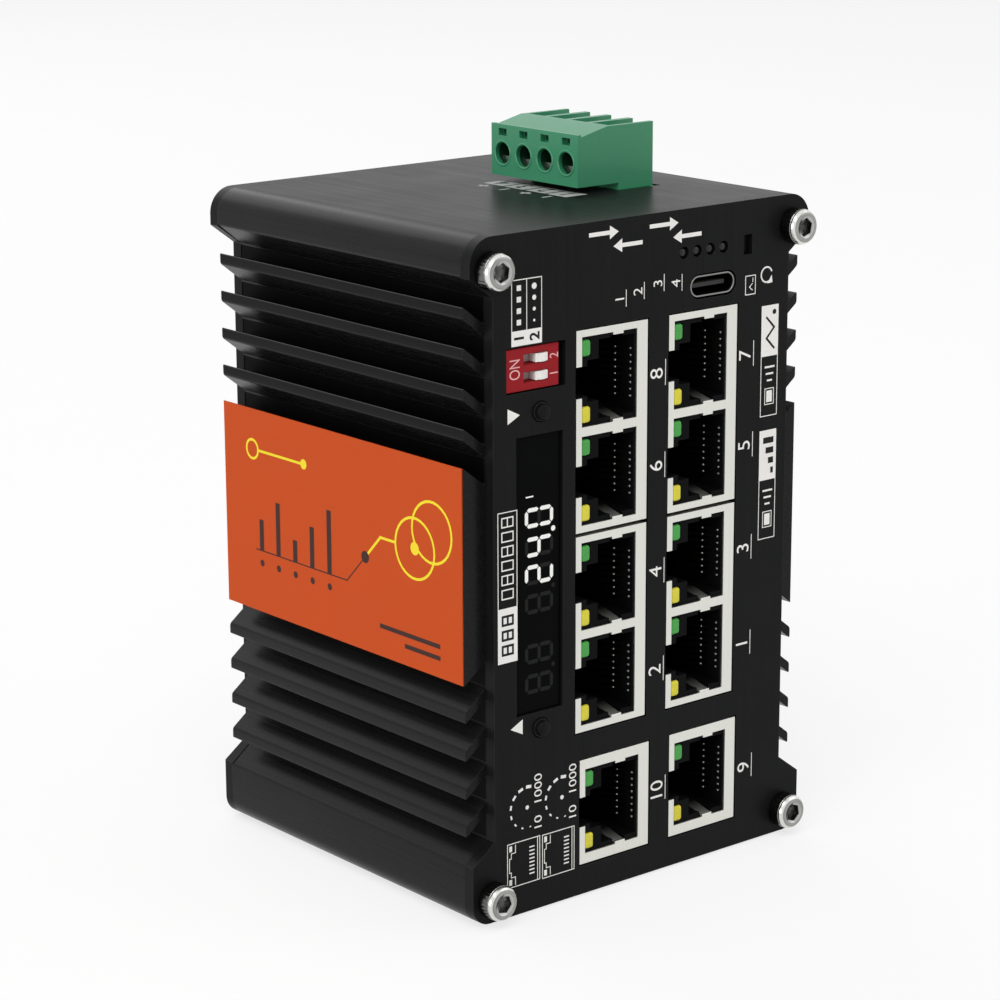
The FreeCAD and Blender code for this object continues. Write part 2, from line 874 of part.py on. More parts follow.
def make_front_panel():
    """Front plate with the openings for the ports, controls and lights."""
    body = make_plate("front", size.panel_thick, panel_back)
    holes = new_sketch(body, "front_holes", "front")
    for x, z in screw_places:
        circle(holes, (x, z), bore_radius)
    play = size.jack_play
    for x in (left_jack_x, right_jack_x):
        half = size.jack_width / 2 + play
        rectangle(holes, (x - half, double_bottom - play), (x + half, double_top + play))
        middle = x + size.single_shift
        low = single_top - single_length - play
        rectangle(holes, (middle - half, low), (middle + half, single_top + play))
    for step in range(4):
        middle = light_x + (step - 1.5) * size.light_pitch
        circle(holes, (middle, light_z), size.light_radius + size.light_play)
    half = size.reset_width / 2
    tall = size.reset_height / 2
    rectangle(holes, (reset_x - half, reset_z - tall), (reset_x + half, reset_z + tall))
    for height in (button_high, button_low):
        circle(holes, (button_x, height), size.button_radius + size.button_play)
    half = size.display_width / 2
    tall = size.display_height / 2
    low = (display_x - half, display_z - tall)
    rectangle(holes, low, (display_x + half, display_z + tall))
    left = dip_x - size.dip_width / 2 - size.dip_play_left
    right = dip_x + size.dip_width / 2 + size.dip_play_right
    tall = size.dip_height / 2 + size.dip_play_left
    rectangle(holes, (left, dip_z - tall), (right, dip_z + tall))
    gap = 2 * size.usb_play
    round_ended(holes, (usb_x, usb_z), size.usb_width + gap, size.usb_height + gap)
    body.Tip = pocket(body, "front_openings", holes)
    keep(body, "front_panel")


def make_rear_panel():
    """Rear plate with countersunk holes for the case screws."""
    body = make_plate("rear", size.rear_thick, back)
    wide = size.sunk_radius + size.screw_play
    sinks = []
    for x, z in screw_places:
        sinks.append(cone("rear_sink", (x, rear_front, z), bore_radius, wide, size.rear_thick, ALONG_Y))
    keep(cut("rear_cut", body, sinks), "rear_panel")


def cap_screw(x, z):
    """Socket-head screw that holds the front panel."""
    crown = front - size.head_height
    head = cylinder("cap_head", (x, crown, z), size.head_radius, size.head_height, ALONG_Y)
    shank = cylinder("cap_shank", (x, front, z), size.screw_radius, size.screw_length, ALONG_Y)
    socket = hexagon("cap_socket", (x, crown - OVERCUT, z), size.socket_radius,
                     size.socket_depth + OVERCUT, ALONG_Y)
    return cut("cap_screw", fuse("cap_blank", [head, shank]), [socket])


def sunk_screw(x, z):
    """Countersunk screw that holds the rear panel, its head level with the panel's face."""
    radius = size.screw_radius
    head = cone("sunk_head", (x, rear_front, z), radius, size.sunk_radius, size.rear_thick, ALONG_Y)
    length = size.screw_length - size.rear_thick
    shank = cylinder("sunk_shank", (x, rear_front - length, z), radius, length, ALONG_Y)
    socket = hexagon("sunk_socket", (x, back - size.socket_depth, z), size.socket_radius,
                     size.socket_depth + OVERCUT, ALONG_Y)
    return cut("sunk_screw", fuse("sunk_blank", [head, shank]), [socket])


def make_case_screws():
    """Socket-head screws in front and countersunk ones behind."""
    keep(group("front_screw_set", [cap_screw(x, z) for x, z in screw_places]), "front_screws")
    keep(group("rear_screw_set", [sunk_screw(x, z) for x, z in screw_places]), "rear_screws")


def make_label():
    """Thin label on the plain band of the left side."""
    low = (-tip_x - size.label_thick, panel_back + size.label_margin, fin_middle - band_half)
    high = (-tip_x, rear_front - size.label_margin, fin_middle + band_half)
    keep(box("label_sheet", low, high), "side_label")


def make_jacks():
    """The six shielded jacks with their inserts, contacts and lenses."""
    green = []
    yellow = []
    for jack in jacks:
        jack.shield()
        jack.moulding()
        jack.contacts()
        green += jack.lenses(1)
        yellow += jack.lenses(-1)
    keep(group("green_lens_set", green), "port_lenses_green")
    keep(group("yellow_lens_set", yellow), "port_lenses_yellow")


def make_management_corner():
    """USB socket, status light pipes and the recessed reset switch, all on one small board."""
    shell = new_body("usb_can")
    outline = new_sketch(shell, "usb_outline", "front")
    centre = (Length.of(0), Length.of(0))
    round_ended(outline, centre, size.usb_width, size.usb_height)
    wall = 2 * size.usb_wall
    round_ended(outline, centre, size.usb_width - wall, size.usb_height - wall)
    pad(shell, "usb_tube", outline, management_face - front - size.usb_recess)
    place(shell, (usb_x, management_face, usb_z))
    keep(shell, "usb_shell")
    half = size.tongue_width / 2
    thick = size.tongue_thick / 2
    low = (usb_x - half, front + size.usb_recess + size.tongue_recess, usb_z - thick)
    keep(box("usb_blade", low, (usb_x + half, management_face, usb_z + thick)), "usb_tongue")
    pipes = []
    for step in range(4):
        base = (light_x + (step - 1.5) * size.light_pitch, front + size.light_recess, light_z)
        length = management_face - front - size.light_recess
        pipes.append(cylinder("light_pipe", base, size.light_radius, length, ALONG_Y))
    keep(group("light_pipes", pipes), "status_lights")
    half = size.reset_width / 2 - size.reset_play
    tall = size.reset_height / 2 - size.reset_play
    base_front = management_face - size.reset_base_tall
    tip_back = base_front - size.reset_travel - size.reset_play
    low = (reset_x - half, front + size.reset_sink, reset_z - tall)
    keep(box("reset_stem", low, (reset_x + half, tip_back, reset_z + tall)), "reset_button")
    half = size.reset_base / 2
    low = (reset_x - half, base_front, reset_z - half)
    high = (reset_x + half, management_face, reset_z + half)
    keep(box("reset_base_block", low, high), "reset_switch")
    low = (left_board_end + size.management_side, management_face, management_bottom)
    right = inner_x - size.guide_height - size.management_play
    high = (right, management_face + size.board_thick, inner_top - size.management_head)
    keep(box("management_card", low, high), "management_board")


def make_dip_switch():
    """Two-way slide switch: slotted body and two sliders that rest at the right."""
    face = front + size.dip_recess
    half = size.dip_width / 2
    tall = size.dip_height / 2
    block = box("dip_block", (dip_x - half, face, dip_z - tall),
                (dip_x + half, display_face, dip_z + tall))
    middle = dip_x + size.dip_slot_shift
    slot_half = size.dip_slot_length / 2
    slots = []
    for number, way in ((1, -0.5), (2, 0.5)):
        z = dip_z + way * size.dip_pitch
        reach = size.dip_slot_height / 2
        low = (middle - slot_half, face - OVERCUT, z - reach)
        slots.append(box("dip_slot", low, (middle + slot_half, face + size.dip_slot_depth, z + reach)))
        play = size.slider_play
        right = middle + slot_half - play
        left = right - size.slider_length
        floor = face + size.dip_slot_depth - play
        bottom = z - reach + play
        top = z + reach - play
        base = box(f"slider_{number}_base", (left, face, bottom), (right, floor, top))
        quarter = size.slider_length / 4
        low = (left + quarter, face - size.slider_rise, bottom)
        ridge = box(f"slider_{number}_ridge", low, (right - quarter, floor, top))
        keep(fuse(f"slider_{number}_whole", [base, ridge]), f"dip_slider_{number}")
    keep(cut("dip_slotted", block, slots), "dip_body")


def make_display_corner():
    """Display window and module, the two push buttons and the board behind them."""
    play = size.display_play
    half = size.display_width / 2 - play
    tall = size.display_height / 2 - play
    face = front + size.display_sink
    inner = face + size.window_thick
    low = (display_x - half, face, display_z - tall)
    keep(box("display_pane", low, (display_x + half, inner, display_z + tall)), "display_window")
    low = (display_x - half, inner, display_z - tall)
    high = (display_x + half, display_face, display_z + tall)
    keep(box("display_block", low, high), "display_module")
    bases = []
    for label, z in (("upper_button", button_high), ("lower_button", button_low)):
        bases.append(tact_base(z))
        keep(push_button(label, z), label)
    keep(group("tact_bases", bases), "button_switches")
    left = size.display_board_play - inner_x
    right = display_x + size.display_width / 2 + size.display_board_side
    bottom = button_low - size.tact_width / 2 - size.display_board_under
    top = dip_z + size.dip_height / 2 + size.display_board_over
    board_back = display_face + size.board_thick
    keep(box("display_card", (left, display_face, bottom), (right, board_back, top)), "display_board")
    spacers = []
    inset = size.spacer_inset
    length = display_face - panel_back
    for x in (left + inset, right - inset):
        for z in (bottom + inset, top - inset):
            base = (x, panel_back, z)
            spacers.append(hexagon("board_spacer", base, size.spacer_radius, length, ALONG_Y))
    keep(group("board_spacers", spacers), "display_spacers")


def tact_base(z):
    half = size.tact_width / 2
    low = (button_x - half, tact_front, z - half)
    return box("tact_base", low, (button_x + half, display_face, z + half))


def push_button(label, z):
    """Round cap with a square flange that holds it behind the panel."""
    face = front - size.button_proud
    cap = cylinder(f"{label}_cap", (button_x, face, z), size.button_radius, flange_back - face, ALONG_Y)
    half = size.button_flange / 2
    low = (button_x - half, flange_front, z - half)
    rim = box(f"{label}_rim", low, (button_x + half, flange_back, z + half))
    return fuse(f"{label}_whole", [cap, rim])


def pole_places():
    """Depth of each terminal pole's middle, from front to back."""
    start = size.plug_y - size.pole_pitch * (size.pole_count - 1) / 2
    return [start + step * size.pole_pitch for step in range(SIZES["pole_count"])]


def make_terminal():
    """Pluggable screw terminal: plug with clamps and screws, and the header under the roof."""
    seat = header_top + size.plug_seat
    floor = case_height + size.plug_gap
    lip = floor + size.plug_face
    ridge = lip + size.plug_rise
    key_bottom = seat - size.plug_key
    key_left = plug_step + size.header_play
    key_right = plug_right - size.header_play
    body = new_body("plug_moulding")
    outline = new_sketch(body, "plug_outline", "front")
    polygon(outline, [
        (plug_left, floor),
        (plug_left, lip),
        (plug_left + size.plug_lip, lip),
        (plug_left + size.plug_lip, lip - size.plug_dip),
        (plug_left + size.plug_ramp, ridge),
        (plug_right, ridge),
        (plug_right, seat),
        (key_right, seat),
        (key_right, key_bottom),
        (key_left, key_bottom),
        (key_left, seat),
        (plug_step, seat),
        (plug_step, floor),
    ])
    pad(body, "plug_solid", outline, 2 * plug_half, symmetric=True)
    place(body, (0, size.plug_y, 0))
    tools = []
    clamps = []
    screws = []
    pins = []
    clamp_low = floor + size.clamp_floor
    clamp_high = clamp_low + size.clamp_height
    half_well = size.well_width / 2
    half_clamp = half_well - size.clamp_play
    half_slot = size.wire_slot_width / 2
    half_pin = size.pin_width / 2
    pin_x = (key_left + key_right) / 2
    pin_top = key_bottom + size.plug_key - 2 * size.header_play
    wire_z = floor + size.wire_height
    for y in pole_places():
        entry = (plug_left - OVERCUT, y, wire_z)
        reach = well_start - plug_left + 2 * OVERCUT
        tools.append(cylinder("wire_entry", entry, size.wire_radius, reach, ALONG_X))
        slot_low = wire_z + size.wire_slot_above - size.wire_slot_height / 2
        low = (plug_left - OVERCUT, y - half_slot, slot_low)
        high = (plug_left + size.wire_slot_depth, y + half_slot, slot_low + size.wire_slot_height)
        tools.append(box("wire_slot", low, high))
        low = (well_start, y - half_well, clamp_low)
        tools.append(box("screw_well", low, (well_end, y + half_well, ridge + OVERCUT)))
        low = (well_end - OVERCUT, y - half_well, ridge - size.well_mouth)
        tools.append(box("well_mouth", low, (plug_right + OVERCUT, y + half_well, ridge + OVERCUT)))
        low = (pin_x - half_pin - size.pin_play, y - half_pin - size.pin_play, key_bottom - OVERCUT)
        high = (pin_x + half_pin + size.pin_play, y + half_pin + size.pin_play, pin_top + size.pin_play)
        tools.append(box("pin_socket", low, high))
        low = (well_start + size.clamp_play, y - half_clamp, clamp_low)
        clamps.append(box("clamp", low, (well_end - size.clamp_play, y + half_clamp, clamp_high)))
        screws.append(clamp_screw(y, clamp_high))
        low = (pin_x - half_pin, y - half_pin, power_top)
        pins.append(box("header_pin", low, (pin_x + half_pin, y + half_pin, pin_top)))
    for low_y, high_y in ((-plug_half - OVERCUT, -plug_half + size.header_play),
                          (plug_half - size.header_play, plug_half + OVERCUT)):
        low = (plug_step - OVERCUT, size.plug_y + low_y, key_bottom - OVERCUT)
        tools.append(box("key_end", low, (plug_right + OVERCUT, size.plug_y + high_y, seat)))
    keep(cut("plug_cut", body, tools), "terminal_plug")
    keep(group("clamp_set", clamps), "plug_clamps")
    keep(group("clamp_screw_set", screws), "plug_screws")
    keep(group("pin_set", pins), "header_pins")
    make_header(pins)


def clamp_screw(y, base):
    """Slotted screw on top of a wire clamp."""
    middle = (well_start + well_end) / 2
    radius = size.clamp_screw_radius
    head = cylinder("clamp_head", (middle, y, base), radius, size.clamp_screw_height, UPRIGHT)
    half = size.clamp_slot / 2
    reach = radius + OVERCUT
    top = base + size.clamp_screw_height
    slot = box("clamp_slot", (middle - reach, y - half, top - size.clamp_slot),
               (middle + reach, y + half, top + OVERCUT))
    return cut("clamp_screw", head, [slot])


def make_header(pins):
    """Open-topped header on the power board, level with the roof's opening."""
    whole = box("header_block", (header_left, size.plug_y - header_half, power_top),
                (header_right, size.plug_y + header_half, header_top))
    floor = power_top + size.header_floor
    inside = box("header_room", (plug_step, size.plug_y - plug_half, floor),
                 (plug_right, size.plug_y + plug_half, header_top + OVERCUT))
    keep(cut("header_cut", whole, [inside] + pins), "terminal_header")


def make_boards():
    """Port boards, the power board and what they carry."""
    board_start = front + size.board_front
    board_end = rear_front - size.board_back
    floor = size.top_wall
    high = (left_board_end, board_end, inner_top)
    keep(box("left_card", (left_board_face, board_start, floor), high), "left_board")
    high = (right_board_end, board_end, management_bottom - size.board_drop)
    keep(box("right_card", (right_board_face, board_start, floor), high), "right_board")
    power_start = management_face + size.board_thick
    low = (left_board_end, power_start, power_bottom)
    keep(box("power_card", low, (inner_x, board_end, power_top)), "power_board")
    half = size.link_width / 2
    tall = size.link_height / 2
    link_y = (jack_front + size.jack_depth + board_end) / 2
    link_z = fin_middle
    low = (left_board_end, link_y - half, link_z - tall)
    keep(box("link_block", low, (right_board_face, link_y + half, link_z + tall)), "board_link")
    half = size.chip_width / 2
    chip_end = right_board_end + size.chip_thick
    pad_end = chip_end + size.pad_thick
    low = (right_board_end, -half, link_z - half)
    keep(box("chip_block", low, (chip_end, half, link_z + half)), "switch_chip")
    low = (chip_end, -half, link_z - half)
    keep(box("pad_sheet", low, (pad_end, half, link_z + half)), "thermal_pad")
    half = size.heat_width / 2
    low = (pad_end, -half, link_z - half)
    keep(box("heat_slug", low, (inner_x, half, link_z + half)), "heat_block")
    coil_x = (left_board_end + header_left) / 2
    half = size.coil_width / 2
    coil_y = size.plug_y - size.pole_pitch
    low = (coil_x - half, coil_y - half, power_top)
    high = (coil_x + half, coil_y + half, power_top + size.coil_height)
    keep(box("coil_block", low, high), "power_coil")
    blocks = []
    wide = size.capacitor_width / 2
    top = power_top + size.capacitor_height
    for step in (0, 1):
        near = coil_y + half + size.capacitor_gap + step * (size.capacitor_width + size.capacitor_gap)
        low = (coil_x - wide, near, power_top)
        blocks.append(box("capacitor", low, (coil_x + wide, near + size.capacitor_width, top)))
    keep(group("capacitor_set", blocks), "power_capacitors")


def make_rail_clip():
    """Hooked clip base for a 35 mm rail, its sliding latch and the latch spring."""
    plate = back + size.clip_thick
    rail_middle = case_height / 2 + size.rail_lift
    rail_top = rail_middle + size.rail_height / 2
    rail_low = rail_middle - size.rail_height / 2
    latch_high = rail_low - size.rail_play
    spring_high = latch_high - size.latch_bar
    peg_high = spring_high - size.spring_length
    peg_low = peg_high - size.peg_height
    clip_bottom = peg_low - size.peg_lift
    shelf = rail_top + size.rail_play
    lip_in = plate + size.rail_thick + size.rail_play
    lip_out = lip_in + size.hook_thick
    crown = shelf + size.hook_top
    body = new_body("clip_plate")
    outline = new_sketch(body, "clip_outline", "side")
    polygon(outline, [
        (back, clip_bottom),
        (plate, clip_bottom),
        (plate, shelf),
        (lip_in, shelf),
        (lip_in, rail_top - size.hook_cover),
        (lip_out, rail_top - size.hook_cover),
        (lip_out, crown),
        (back, crown),
    ])
    blank = pad(body, "clip_blank", outline, size.clip_width, symmetric=True)

    def on_hook(edge):
        start = edge.Vertexes[0].Point
        end = edge.Vertexes[-1].Point
        along = abs(start.y - end.y) < 1e-6 and abs(start.z - end.z) < 1e-6
        outer = abs(start.y - lip_out.value) < 1e-6
        return along and outer

    round_edges(body, "clip_hook", blank, size.hook_round / 2, on_hook)
    play = size.latch_play
    half = size.latch_width / 2
    latch_in = plate + play
    latch_out = latch_in + size.latch_plate
    latch_low = clip_bottom - size.latch_tail
    additions = [body]
    guide_top = latch_high - size.latch_travel / 2
    for way in (-1, 1):
        near = way * (half + play)
        far = way * (half + play + size.guide_rail)
        lap = way * (half - size.guide_lap)
        post = sorted((near, far), key=lambda item: item.value)
        cap = sorted((lap, far), key=lambda item: item.value)
        low = (post[0], plate - OVERCUT, clip_bottom)
        additions.append(box("guide_post", low, (post[1], lip_out, guide_top)))
        low = (cap[0], latch_out + play, clip_bottom)
        additions.append(box("guide_cap", low, (cap[1], lip_out, guide_top)))
    half_spring = size.spring_width / 2
    low = (-half_spring, plate - OVERCUT, peg_low)
    additions.append(box("spring_peg", low, (half_spring, latch_out, peg_high)))
    keep(fuse("clip_whole", additions), "rail_clip")
    make_latch(latch_in, latch_out, latch_low, latch_high, (lip_in, lip_out), (peg_low, spring_high))
    make_spring(plate, latch_out, peg_high, spring_high)


def make_latch(latch_in, latch_out, low_z, high_z, lip, window):
    """Flat slide with a wedge that snaps under the rail and a pull slot below."""
    half = size.latch_width / 2
    head = size.latch_head / 2
    play = size.latch_play
    plate = box("latch_plate_block", (-half, latch_in, low_z), (half, latch_out, high_z))
    wedge = new_body("latch_wedge")
    outline = new_sketch(wedge, "latch_profile", "side")
    polygon(outline, [
        (latch_out - play, low_z),
        (lip[1], low_z),
        (lip[1], high_z),
        (lip[0] + size.latch_plate / 2, high_z + size.hook_cover),
        (lip[0] + play, high_z + size.hook_cover),
        (lip[0] + play, high_z),
        (latch_out - play, high_z),
    ])
    pad(wedge, "latch_head_block", outline, size.latch_head, symmetric=True)
    half_window = size.spring_width / 2 + play
    clear = box("latch_window", (-half_window, latch_in - OVERCUT, window[0] - 2 * play),
                (half_window, latch_out + play, window[1]))
    pull = box("latch_pull", (-head / 2, latch_in - OVERCUT, low_z + size.latch_plate),
               (head / 2, lip[1] + OVERCUT, low_z + 2 * size.latch_plate))
    whole = fuse("latch_whole", [plate, wedge])
    keep(cut("latch_cut", whole, [clear, pull]), "rail_latch")


def make_spring(plate, latch_out, low_z, high_z):
    """Zigzag strip spring that stands on the peg and pushes the latch up."""
    body = new_body("spring_strip")
    sketch = new_sketch(body, "spring_profile", "front")
    half = size.spring_width / 2 - size.latch_play
    wire = size.spring_wire
    turns = SIZES["spring_turns"]
    rise = (high_z - low_z - wire) / turns
    side = [half if step % 2 else -half for step in range(turns + 1)]
    lower = [(x, step * rise) for step, x in enumerate(side)]
    upper = [(x, step * rise + wire) for step, x in reversed(list(enumerate(side)))]
    polygon(sketch, lower + upper)
    play = size.latch_play
    pad(body, "spring_blank", sketch, latch_out - plate - 2 * play)
    place(body, (0, latch_out - play, low_z))
    keep(body, "latch_spring")


def check_and_write():
    """Stop on any failed object, then write each piece."""
    doc.recompute()
    failed = [item.Name for item in doc.Objects if {"Invalid", "Error"} & set(item.State)]
    if failed:
        raise RuntimeError(f"failed objects: {failed}")
    os.makedirs("parts", exist_ok=True)
    for item in sub_parts:
        if item.Shape.isNull() or not item.Shape.isValid():
            raise RuntimeError(f"bad shape: {item.Label}")
    for item in sub_parts:
        item.Shape.exportStep(f"parts/{item.Label}.step")


make_housing()
make_front_panel()
make_rear_panel()
make_case_screws()
make_label()
make_jacks()
make_management_corner()
make_dip_switch()
make_display_corner()
make_terminal()
make_boards()
make_rail_clip()
check_and_write()
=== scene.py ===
"""Dressed scene of a ten-port network switch in a finned rail-mount case.

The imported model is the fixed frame. Lengths in the classes are millimetres in that frame: X to the
right seen from the front, Y into the case and Z up from the case's bottom face.
"""

import logging
import math
from dataclasses import dataclass, field
from enum import Enum
from functools import lru_cache
from typing import Callable, ClassVar, Iterable, NamedTuple, Optional, Protocol, Sequence, Union

import bmesh
import bpy
from mathutils import Matrix, Vector


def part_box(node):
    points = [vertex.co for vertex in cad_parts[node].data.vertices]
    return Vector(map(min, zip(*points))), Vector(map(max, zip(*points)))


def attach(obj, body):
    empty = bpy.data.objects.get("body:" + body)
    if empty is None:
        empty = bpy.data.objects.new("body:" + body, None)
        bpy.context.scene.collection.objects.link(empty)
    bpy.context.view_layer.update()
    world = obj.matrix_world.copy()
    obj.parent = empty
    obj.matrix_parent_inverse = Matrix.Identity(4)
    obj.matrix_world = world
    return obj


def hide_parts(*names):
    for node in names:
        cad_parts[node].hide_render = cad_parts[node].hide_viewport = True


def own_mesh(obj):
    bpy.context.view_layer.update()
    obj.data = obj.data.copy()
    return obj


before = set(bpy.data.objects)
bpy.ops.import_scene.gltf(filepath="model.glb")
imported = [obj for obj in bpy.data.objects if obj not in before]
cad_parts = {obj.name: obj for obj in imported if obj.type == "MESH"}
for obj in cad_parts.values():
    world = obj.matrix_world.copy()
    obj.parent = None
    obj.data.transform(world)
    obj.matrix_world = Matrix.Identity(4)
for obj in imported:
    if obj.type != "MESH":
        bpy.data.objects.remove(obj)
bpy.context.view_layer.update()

LOG = logging.getLogger("network_switch")
MM = 0.001
MERGE = 2e-6
FLAT_DEGREES = 0.6
SHARP_DEGREES = 35.0
SMOOTH_DEGREES = 32.0
RUN_STEPS = 4
GRAIN_DEPTH = 0.00003
PURE_WHITE = (1, 1, 1, 1)
Colour = tuple[float, float, float, float]
Point2 = tuple[float, float]
Point3 = tuple[float, float, float]
Radius = Union[float, Callable[[float], float]]
EdgeTest = Callable[[bmesh.types.BMEdge], bool]


def srgb(*levels: int) -> Colour:
    """Linear colour, as a shader takes it, of a screen colour's three levels from 0 to 255."""
    parts = (level / 255 for level in levels)
    return (*(p / 12.92 if p <= 0.04045 else ((p + 0.055) / 1.055) ** 2.4 for p in parts), 1.0)


def shade(colour: Colour, factor: float) -> Colour:
    """Scale a colour's brightness and keep its alpha."""
    return (colour[0] * factor, colour[1] * factor, colour[2] * factor, colour[3])


def around(middle: Point2, radius: float, degrees: float) -> Point2:
    """Point of a circle at an angle."""
    angle = math.radians(degrees)
    return (middle[0] + radius * math.cos(angle), middle[1] + radius * math.sin(angle))


def spaced(middle: float, count: int, pitch: float) -> list[float]:
    """Places of an even row about its middle."""
    return [middle + (step - (count - 1) / 2) * pitch for step in range(count)]


@dataclass(frozen=True)
class Box:
    """Box of a node in millimetres."""

    left: float
    front: float
    bottom: float
    right: float
    back: float
    top: float

    @classmethod
    def of(cls, node: str) -> "Box":
        """Box of a node of the frame."""
        low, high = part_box(node)
        return cls(*(value / MM for value in (*low, *high)))

    @property
    def middle(self) -> Point3:
        """Middle of the box."""
        ends = ((self.left, self.right), (self.front, self.back), (self.bottom, self.top))
        return tuple((low + high) / 2 for low, high in ends)


class Signal:
    """A value socket of a node tree that takes part in plain arithmetic."""

    def __init__(self, owner: "NodeTree", socket: bpy.types.NodeSocket) -> None:
        """Hold the socket and the tree that owns it."""
        self.owner = owner
        self.socket = socket

    def _math(self, operation: str, first: "Number", second: "Number",
              clamp: bool = False) -> "Signal":
        """Result of one Math node, held between 0 and 1 where clamp says so."""
        settings = {"operation": operation, "use_clamp": clamp}
        return self.owner.value(0, "ShaderNodeMath", settings, {0: first, 1: second})

    def __add__(self, other: "Number") -> "Signal":
        """Sum of two values."""
        return self._math("ADD", self, other)

    def __radd__(self, other: "Number") -> "Signal":
        """Sum with a number on the left."""
        return self._math("ADD", other, self)

    def __sub__(self, other: "Number") -> "Signal":
        """Difference of two values."""
        return self._math("SUBTRACT", self, other)

    def __rsub__(self, other: "Number") -> "Signal":
        """Difference with a number on the left."""
        return self._math("SUBTRACT", other, self)

    def __mul__(self, other: "Number") -> "Signal":
        """Product of two values."""
        return self._math("MULTIPLY", self, other)

    def __rmul__(self, other: "Number") -> "Signal":
        """Product with a number on the left."""
        return self._math("MULTIPLY", other, self)

    def above(self, level: "Number") -> "Signal":
        """One where the value is greater than the level, and zero elsewhere."""
        return self._math("GREATER_THAN", self, level)

    def at_least(self, other: "Number") -> "Signal":
        """The larger of two values."""
        return self._math("MAXIMUM", self, other)

    def limited(self) -> "Signal":
        """The value held between 0 and 1."""
        return self._math("ADD", self, 0.0, True)


Number = Union[float, Signal]
Link = Union[float, Sequence[float], Signal, bpy.types.NodeSocket]
Settings = Optional[dict[str, object]]
Sockets = Optional[dict[Union[int, str], Link]]


def waver(mean: Number, *noises: tuple[Signal, float]) -> Number:
    """Let a value waver about its mean by noises from 0 to 1, each with its whole reach."""
    return sum(((noise - 0.5) * reach for noise, reach in noises), mean)


class NodeTree:
    """Node tree of a material, a world or a modifier."""

    def __init__(self, tree: bpy.types.NodeTree) -> None:
        """Take over a tree and empty it."""
        self.tree = tree
        self.tree.nodes.clear()

    def node(self, kind: str, settings: Settings = None,
             sockets: Sockets = None) -> bpy.types.Node:
        """Add a node, set its options first and then fill its sockets.

        Args:
            kind: The node's type name.
            settings: Options of the node.
            sockets: Values or links by socket name or number.

        Returns:
            The new node.
        """
        node = self.tree.nodes.new(kind)
        for key, value in (settings or {}).items():
            setattr(node, key, value)
        for key, value in (sockets or {}).items():
            self.feed(node.inputs[key], value)
        return node

    def value(self, output: Union[int, str], kind: str, settings: Settings = None,
              sockets: Sockets = None) -> Signal:
        """One output of a new node, as a value."""
        return Signal(self, self.node(kind, settings, sockets).outputs[output])

    def feed(self, target: bpy.types.NodeSocket, value: Link) -> None:
        """Link a socket, or set its value.

        Args:
            target: The input socket.
            value: A link or a plain value.
        """
        if isinstance(value, Signal):
            value = value.socket
        if isinstance(value, bpy.types.NodeSocket):
            self.tree.links.new(value, target)
        else:
            target.default_value = value

    def shown(self) -> Signal:
        """Tell the rays that show the background itself, in view or in a reflection.

        Returns:
            One for those rays, and zero for others.
        """
        rays = self.node("ShaderNodeLightPath").outputs
        camera, glossy, through = (
            Signal(self, rays[f"Is {name} Ray"]) for name in ("Camera", "Glossy", "Transmission"))
        return camera.at_least(glossy).at_least(through)


class Shader(NodeTree):
    """Node tree of one material, with a principled surface."""

    def __init__(self, name: str) -> None:
        """Start a material of that name.

        Args:
            name: The material's name.
        """
        self.material = bpy.data.materials.new(name)
        self.material.use_nodes = True
        super().__init__(self.material.node_tree)
        self.surface = self.node("ShaderNodeBsdfPrincipled")
        self.output = self.node("ShaderNodeOutputMaterial")
        self.feed(self.output.inputs["Surface"], self.surface.outputs[0])
        self.place = self.node("ShaderNodeTexCoord").outputs["Object"]

    def set(self, **values: Link) -> None:
        """Fill sockets of the principled surface, named with underscores for spaces."""
        for key, value in values.items():
            self.feed(self.surface.inputs[key.replace("_", " ")], value)

    def noise(self, per_metre: Union[float, Point3], detail: float = 2.0,
              seed: float = 0.0) -> Signal:
        """Noise on object coordinates.

        Args:
            per_metre: Number of lumps per metre, alike on all axes or along each.
            detail: Levels of finer noise.
            seed: Shift along every axis, so that two noises differ.

        Returns:
            The noise from 0 to 1.
        """
        scale = per_metre if isinstance(per_metre, tuple) else (per_metre,) * 3
        sockets = {"Vector": self.place, "Scale": scale, "Location": (seed, seed, seed)}
        moved = self.node("ShaderNodeMapping", None, sockets).outputs[0]
        sockets = {"Vector": moved, "Scale": 1.0, "Detail": detail}
        return self.value(0, "ShaderNodeTexNoise", None, sockets)

    def attribute(self, name: str) -> Signal:
        """A value that the piece's own mesh carries."""
        settings = {"attribute_type": "GEOMETRY", "attribute_name": name}
        return self.value("Fac", "ShaderNodeAttribute", settings)

    def part(self, axis: int) -> Signal:
        """One object coordinate in metres."""
        return self.value(axis, "ShaderNodeSeparateXYZ", None, {0: self.place})

    def wave(self, axis: str, per_metre: float, distortion: float) -> Signal:
        """Bands from 0 to 1 across the axis X, Y or Z, which waver by the distortion."""
        sockets = {"Vector": self.place, "Scale": per_metre, "Distortion": distortion,
                   "Detail": 1.0}
        return self.value(1, "ShaderNodeTexWave", {"bands_direction": axis}, sockets)

    def blend(self, low: Link, high: Link, factor: Number) -> bpy.types.NodeSocket:
        """Mix two colours, by the share of the second one."""
        node = self.node("ShaderNodeMix", {"data_type": "RGBA"}, {0: factor, 6: low, 7: high})
        return node.outputs[2]

    def mottle(self, colour: Colour, spread: float, tone: Signal) -> bpy.types.NodeSocket:
        """Let a colour's brightness follow a tone, by a share to both sides."""
        return self.blend(shade(colour, 1 - spread), shade(colour, 1 + spread), tone.limited())

    def bump(self, height: Signal, strength: float, distance: float = GRAIN_DEPTH) -> None:
        """Give the surface a relief of a share of a depth in metres."""
        sockets = {"Height": height, "Strength": strength, "Distance": distance}
        self.set(Normal=self.node("ShaderNodeBump", None, sockets).outputs[0])


